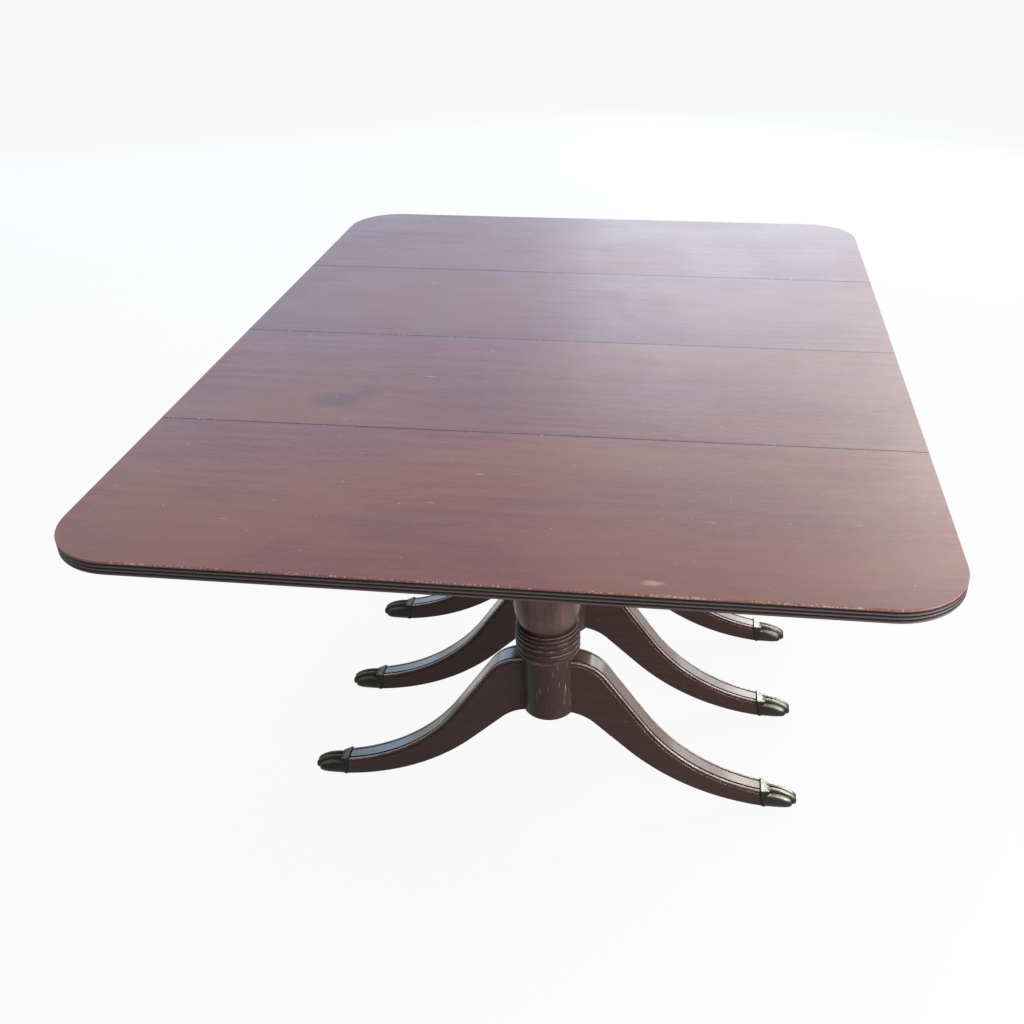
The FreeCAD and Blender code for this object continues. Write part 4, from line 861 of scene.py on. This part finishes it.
# Run of each toe: share of the way to the tip, height of the middle, half height, share of the width
SIDE_TOE_RUN = (
    (0.00, 0.0112, 0.0138, 0.78),
    (0.22, 0.0124, 0.0152, 0.90),
    (0.50, 0.0124, 0.0150, 1.00),
    (0.76, 0.0104, 0.0126, 0.92),
    (0.92, 0.0084, 0.0092, 0.70),
    (0.985, 0.0074, 0.0058, 0.46),
    (1.00, 0.0070, 0.0032, 0.26),
)
MIDDLE_TOE_RUN = (
    (0.00, 0.0200, 0.0155, 0.80),
    (0.25, 0.0200, 0.0153, 0.92),
    (0.50, 0.0176, 0.0150, 1.00),
    (0.74, 0.0136, 0.0134, 0.96),
    (0.90, 0.0102, 0.0104, 0.80),
    (0.975, 0.0086, 0.0070, 0.58),
    (1.00, 0.0080, 0.0040, 0.34),
)


class TABLE_OT_cast_paws(bpy.types.Operator):
    """Model one cast paw and set a copy on the foot of each leg"""

    bl_idname = "table.cast_paws"
    bl_label = "Cast the Paws"

    def execute(self, context):
        sizes = context.scene.table_paw
        select_only()
        socket = self.socket(sizes)
        tip = PAW_HIGH.x
        behind_toes = PAW_LOW.x + sizes.rim
        on_socket = PAW_LOW.x + TOE_START * sizes.socket_run
        side = self.toe(SIDE_TOE_RUN, behind_toes, tip - sizes.side_reach, sizes.side_place, sizes.side_toe)
        middle = self.toe(MIDDLE_TOE_RUN, on_socket, tip, sizes.middle_place, sizes.middle_toe)
        for toe in (side, middle):
            self.use_modifier(toe, "MIRROR", use_axis=(False, True, False))
        paw = self.joined([socket, side, middle])
        self.use_modifier(paw, "REMESH", mode="VOXEL", voxel_size=sizes.skin, adaptivity=0.0)
        self.use_modifier(paw, "SMOOTH", factor=0.5, iterations=SMOOTH_PASSES)
        self.trim(paw, (0.0, 0.0, PAW_LOW.z), (0.0, 0.0, 1.0))
        self.trim(paw, (PAW_LOW.x, 0.0, PAW_HIGH.z), (sizes.joint, 0.0, sizes.slant))
        self.hollow(paw, sizes)
        self.mark_hollows(paw)
        finish = context.scene.table_metal
        # Right-hand paws take a lit copy of the brass and left-hand paws a shaded copy: painted light and
        # shade.
        for hand, rub_and_painted_light in (("right", finish.right_rub_and_painted_light), ("left", finish.left_rub_and_painted_light)):
            material = paw_material(hand + "_paw_brass", finish, sizes, rub_and_painted_light)
            for end in PAW_BODIES:
                self.place(paw, end, hand, material)
        bpy.data.objects.remove(paw)
        return {"FINISHED"}

    def use_modifier(self, piece, kind, **settings):
        """Modifier added to a piece and applied."""
        select_only(piece)
        bpy.ops.object.modifier_add(type=kind)
        modifier = piece.modifiers[-1]
        for name, value in settings.items():
            setattr(modifier, name, value)
        bpy.ops.object.modifier_apply(modifier=modifier.name)

    def joined(self, pieces):
        """Several pieces joined into the first."""
        select_only(*pieces)
        bpy.ops.object.join()
        return pieces[0]

    def pick(self, test, mode="FACE"):
        """Select the faces or points of the piece in edit mode that pass a test on their middle."""
        bpy.ops.mesh.select_mode(type=mode)
        bpy.ops.mesh.select_all(action="DESELECT")
        bpy.ops.object.mode_set(mode="OBJECT")
        mesh = bpy.context.active_object.data
        for item in mesh.polygons if mode == "FACE" else mesh.vertices:
            item.select = test(item.center if mode == "FACE" else item.co)
        bpy.ops.object.mode_set(mode="EDIT")

    def socket(self, sizes):
        """Tapered socket behind a raised rim, left long at its back and its sole for trimming."""
        tall = PAW_HIGH.z + SPARE
        length = sizes.rim + SPARE
        front = PAW_LOW.x + sizes.rim
        width = 2.0 * (sizes.socket_half + sizes.rim_proud)
        centre = Vector((front - length / 2.0, 0.0, PAW_HIGH.z - tall / 2.0))
        bpy.ops.mesh.primitive_cube_add(size=1.0, location=centre)
        piece = bpy.context.active_object
        piece.name = "paw_cast"
        bpy.ops.object.transform_apply()
        edit_all()
        bpy.ops.transform.resize(value=(length, width, tall), center_override=centre)
        self.pick(lambda at: at.x > centre.x and at.z < centre.z, "VERT")
        bpy.ops.transform.translate(value=(sizes.slant * tall / sizes.joint, 0.0, 0.0))
        self.pick(lambda at: at.x > front)
        bpy.ops.mesh.extrude_region_move(TRANSFORM_OT_translate={"value": (RIM_STEP, 0.0, -sizes.rim_proud)})
        narrower = sizes.socket_half / (sizes.socket_half + sizes.rim_proud)
        bpy.ops.transform.resize(value=(1.0, narrower, 1.0), center_override=centre)
        run = sizes.socket_run - sizes.rim
        bpy.ops.mesh.extrude_region_move(TRANSFORM_OT_translate={"value": (run, 0.0, -sizes.socket_drop)})
        bpy.ops.transform.resize(value=(1.0, sizes.socket_taper, 1.0), center_override=centre)
        bpy.ops.object.mode_set(mode="OBJECT")
        return piece

    def toe(self, run, start, tip, place, half_width):
        """Round toe drawn out from the socket to its tip in upright rings."""
        first = Vector((start, place, run[0][1]))
        select_only()
        bpy.ops.mesh.primitive_circle_add(
            vertices=TOE_SIDES, radius=1.0, fill_type="NGON", location=first, rotation=(0.0, QUARTER, 0.0)
        )
        piece = bpy.context.active_object
        bpy.ops.object.transform_apply()
        edit_all()
        last, last_half, last_width = first, run[0][2], half_width * run[0][3]
        bpy.ops.transform.resize(value=(1.0, last_width, last_half), center_override=first)
        for share, middle, half, fullness in run[1:]:
            here = Vector((start + share * (tip - start), place, middle))
            width = half_width * fullness
            bpy.ops.mesh.extrude_region_move(TRANSFORM_OT_translate={"value": here - last})
            scale = (1.0, width / last_width, half / last_half)
            bpy.ops.transform.resize(value=scale, center_override=here)
            last, last_half, last_width = here, half, width
        bpy.ops.mesh.select_all(action="SELECT")
        bpy.ops.mesh.normals_make_consistent(inside=False)
        bpy.ops.object.mode_set(mode="OBJECT")
        self.use_modifier(piece, "SUBSURF", levels=TOE_ROUNDING, render_levels=TOE_ROUNDING)
        return piece

    def trim(self, paw, point, normal):
        """Flat cut through the casting that keeps the side its normal points to."""
        select_only(paw)
        edit_all()
        bpy.ops.mesh.bisect(
            plane_co=point, plane_no=normal, use_fill=True, clear_inner=True, threshold=CUT_MERGE
        )
        bpy.ops.mesh.select_all(action="SELECT")
        bpy.ops.mesh.remove_doubles(threshold=MERGE)
        bpy.ops.mesh.normals_make_consistent(inside=False)
        bpy.ops.object.mode_set(mode="OBJECT")

    def hollow(self, paw, sizes):
        """Hollow for the stub of the leg."""
        reach = 2.0 * sizes.stub_reach
        tall = sizes.stub_high - sizes.stub_low
        place = (PAW_LOW.x, 0.0, sizes.stub_low + tall / 2.0)
        select_only()
        bpy.ops.mesh.primitive_cube_add(size=1.0, location=place)
        core = bpy.context.active_object
        bpy.ops.transform.resize(value=(reach, 2.0 * sizes.stub_half, tall), center_override=place)
        bpy.ops.object.transform_apply()
        self.use_modifier(paw, "BOOLEAN", operation="DIFFERENCE", object=core, solver="EXACT")
        bpy.data.objects.remove(core)

    def mark_hollows(self, paw):
        """Colour attribute that is dark in the creases of the casting."""
        select_only(paw)
        bpy.ops.geometry.color_attribute_add(
            name="cavity", domain="CORNER", data_type="FLOAT_COLOR", color=WHITE
        )
        bpy.ops.paint.vertex_color_dirt(
            blur_strength=1.0, blur_iterations=DIRT_BLURS, dirt_angle=0.0, normalize=False
        )
        bpy.ops.object.shade_smooth()

    def place(self, paw, end, hand, material):
        """Copy of the paw on one leg, with its own mesh."""
        node = "_".join((end, hand, "paw"))
        low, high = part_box(node)
        select_only(paw)
        bpy.ops.object.duplicate(linked=False)
        copy = bpy.context.active_object
        copy.name = node + "_cast"
        edit_all()
        bpy.ops.transform.translate(value=(0.0, (low.y + high.y) / 2.0, 0.0))
        if hand == "left":
            bpy.ops.transform.resize(value=(-1.0, 1.0, 1.0), center_override=(0.0, 0.0, 0.0))
            bpy.ops.mesh.flip_normals()
        bpy.ops.object.mode_set(mode="OBJECT")
        copy.data.materials.append(material)
        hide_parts(node)
        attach(copy, PAW_BODIES[end])


# Floor, film, room light and the points that the panel lights face
FLOOR_SIZE = 80.0
FLOOR_DROP = 0.0005
FILM_WIDTH = 36.0
FAR_END = 200.0
ROOM_COLOUR = (0.96, 0.98, 1.0, 1.0)
AIM = Vector((0.0, 0.0, TOP_Z))
KNEE = Vector((0.0, -0.3, 0.4))

# Panel lights by the setting of their power: place, point they face, width and height, colour
LAMPS = {
    "sky": (Vector((-1.7, 4.6, 2.0)), AIM, (6.4, 3.2), (0.32, 0.64, 1.0)),
    "window": (Vector((1.9, 4.4, 1.9)), AIM, (5.4, 3.0), (0.90, 0.97, 1.0)),
    "key": (Vector((2.3, 4.0, 3.3)), AIM, (2.0, 1.6), (1.0, 0.98, 0.95)),
    "fill": (Vector((0.1, -1.1, 3.0)), AIM, (1.6, 1.6), (1.0, 0.97, 0.94)),
    "low": (Vector((1.7, -1.2, 0.6)), KNEE, (1.0, 0.9), (1.0, 0.97, 0.94)),
}


class TABLE_OT_set_stage(bpy.types.Operator):
    """Set the floor, the light and the camera"""

    bl_idname = "table.set_stage"
    bl_label = "Set the Stage"

    def execute(self, context):
        stage = context.scene.table_stage
        self.lay_floor(stage)
        self.light(context, stage)
        self.aim_camera(context, stage)
        context.scene.view_settings.view_transform = "Standard"
        return {"FINISHED"}

    def lay_floor(self, stage):
        """Wide pale floor that keeps the shadow."""
        select_only()
        bpy.ops.mesh.primitive_plane_add(size=FLOOR_SIZE, location=(0.0, 0.0, -FLOOR_DROP))
        floor = bpy.context.active_object
        floor.name = "floor"
        bpy.ops.object.transform_apply()
        material, shader, _ = new_material("pale_floor")
        tree = material.node_tree
        matt = {"Base Color": rgba(stage.floor), "Roughness": 0.9, "Specular IOR Level": 0.0}
        plug(shader, matt)
        white = tree.nodes.new("ShaderNodeEmission")
        plug(white, {"Color": WHITE, "Strength": 1.0})
        seen = times(seen_share(tree), stage.floor_glow)
        blend = add("MixShader", {0: seen, 1: shader.outputs[0], 2: white.outputs[0]})
        plug(tree.nodes["Material Output"], {"Surface": blend.outputs[0]})
        floor.data.materials.append(material)

    def light(self, context, stage):
        """Soft light from all round, bright panels behind, and soft fills overhead and low in front."""
        world = bpy.data.worlds.new("studio")
        context.scene.world = world
        world.use_nodes = True
        tree = world.node_tree
        towards = tree.nodes.new("ShaderNodeTexCoord").outputs["Generated"]
        height = larger(axes(towards)[2], 0.0)
        soft = plus(stage.room, times(height, stage.ceiling))
        strength = larger(soft, seen_share(tree))
        plug(tree.nodes["Background"], {"Color": ROOM_COLOUR, "Strength": strength})
        for name, (place, target, size, colour) in LAMPS.items():
            self.panel(name, place, target, size, getattr(stage, name), colour)

    def panel(self, name, place, target, size, power, colour):
        """Large soft panel light facing a point."""
        lamp = bpy.data.lights.new(name, "AREA")
        lamp.shape = "RECTANGLE"
        lamp.size, lamp.size_y = size
        lamp.energy = power
        lamp.color = colour
        holder = bpy.data.objects.new(name, lamp)
        holder.location = place
        holder.rotation_euler = (target - place).to_track_quat("-Z", "Y").to_euler()
        bpy.context.scene.collection.objects.link(holder)

    def aim_camera(self, context, stage):
        """Camera with its place, turn, lens and shift."""
        camera = bpy.data.cameras.new("camera")
        camera.sensor_fit = "HORIZONTAL"
        camera.sensor_width = FILM_WIDTH
        camera.lens = stage.lens
        camera.shift_x = stage.shift_x
        camera.shift_y = stage.shift_y
        camera.clip_end = FAR_END
        holder = bpy.data.objects.new("camera", camera)
        turn = Matrix.Rotation(stage.yaw, 4, "Z")
        tilt = Matrix.Rotation(QUARTER - stage.pitch, 4, "X")
        roll = Matrix.Rotation(-stage.roll, 4, "Z")
        holder.matrix_world = Matrix.Translation(Vector(stage.eye)) @ turn @ tilt @ roll
        context.scene.collection.objects.link(holder)
        context.scene.camera = holder


class TABLE_PT_panel(bpy.types.Panel):
    """Steps that dress the table"""

    bl_idname = "TABLE_PT_panel"
    bl_label = "Drop-Leaf Table"
    bl_space_type = "VIEW_3D"
    bl_region_type = "UI"
    bl_category = "Table"

    def draw(self, context):
        for operator in OPERATORS:
            self.layout.operator(operator.bl_idname)


SETTINGS = {
    "table_top": TopFinish,
    "table_base": BaseFinish,
    "table_frame": FrameFinish,
    "table_metal": MetalFinish,
    "table_paw": PawSizes,
    "table_stage": StageSettings,
}
OPERATORS = (
    TABLE_OT_polish_tops,
    TABLE_OT_stain_base,
    TABLE_OT_plain_frame,
    TABLE_OT_finish_fittings,
    TABLE_OT_cast_paws,
    TABLE_OT_set_stage,
)


def register():
    """Add the settings, steps and panel."""
    for settings in SETTINGS.values():
        bpy.utils.register_class(settings)
    for name, settings in SETTINGS.items():
        setattr(bpy.types.Scene, name, bpy.props.PointerProperty(type=settings))
    for operator in OPERATORS:
        bpy.utils.register_class(operator)
    bpy.utils.register_class(TABLE_PT_panel)


def unregister():
    """Take the settings, steps and panel away."""
    bpy.utils.unregister_class(TABLE_PT_panel)
    for operator in reversed(OPERATORS):
        bpy.utils.unregister_class(operator)
    for name in SETTINGS:
        delattr(bpy.types.Scene, name)
    for settings in reversed(list(SETTINGS.values())):
        bpy.utils.unregister_class(settings)


def main():
    """Run every step in order."""
    register()
    bpy.ops.table.polish_tops()
    bpy.ops.table.stain_base()
    bpy.ops.table.plain_frame()
    bpy.ops.table.finish_fittings()
    bpy.ops.table.cast_paws()
    bpy.ops.table.set_stage()


if __name__ == "__main__":
    main()
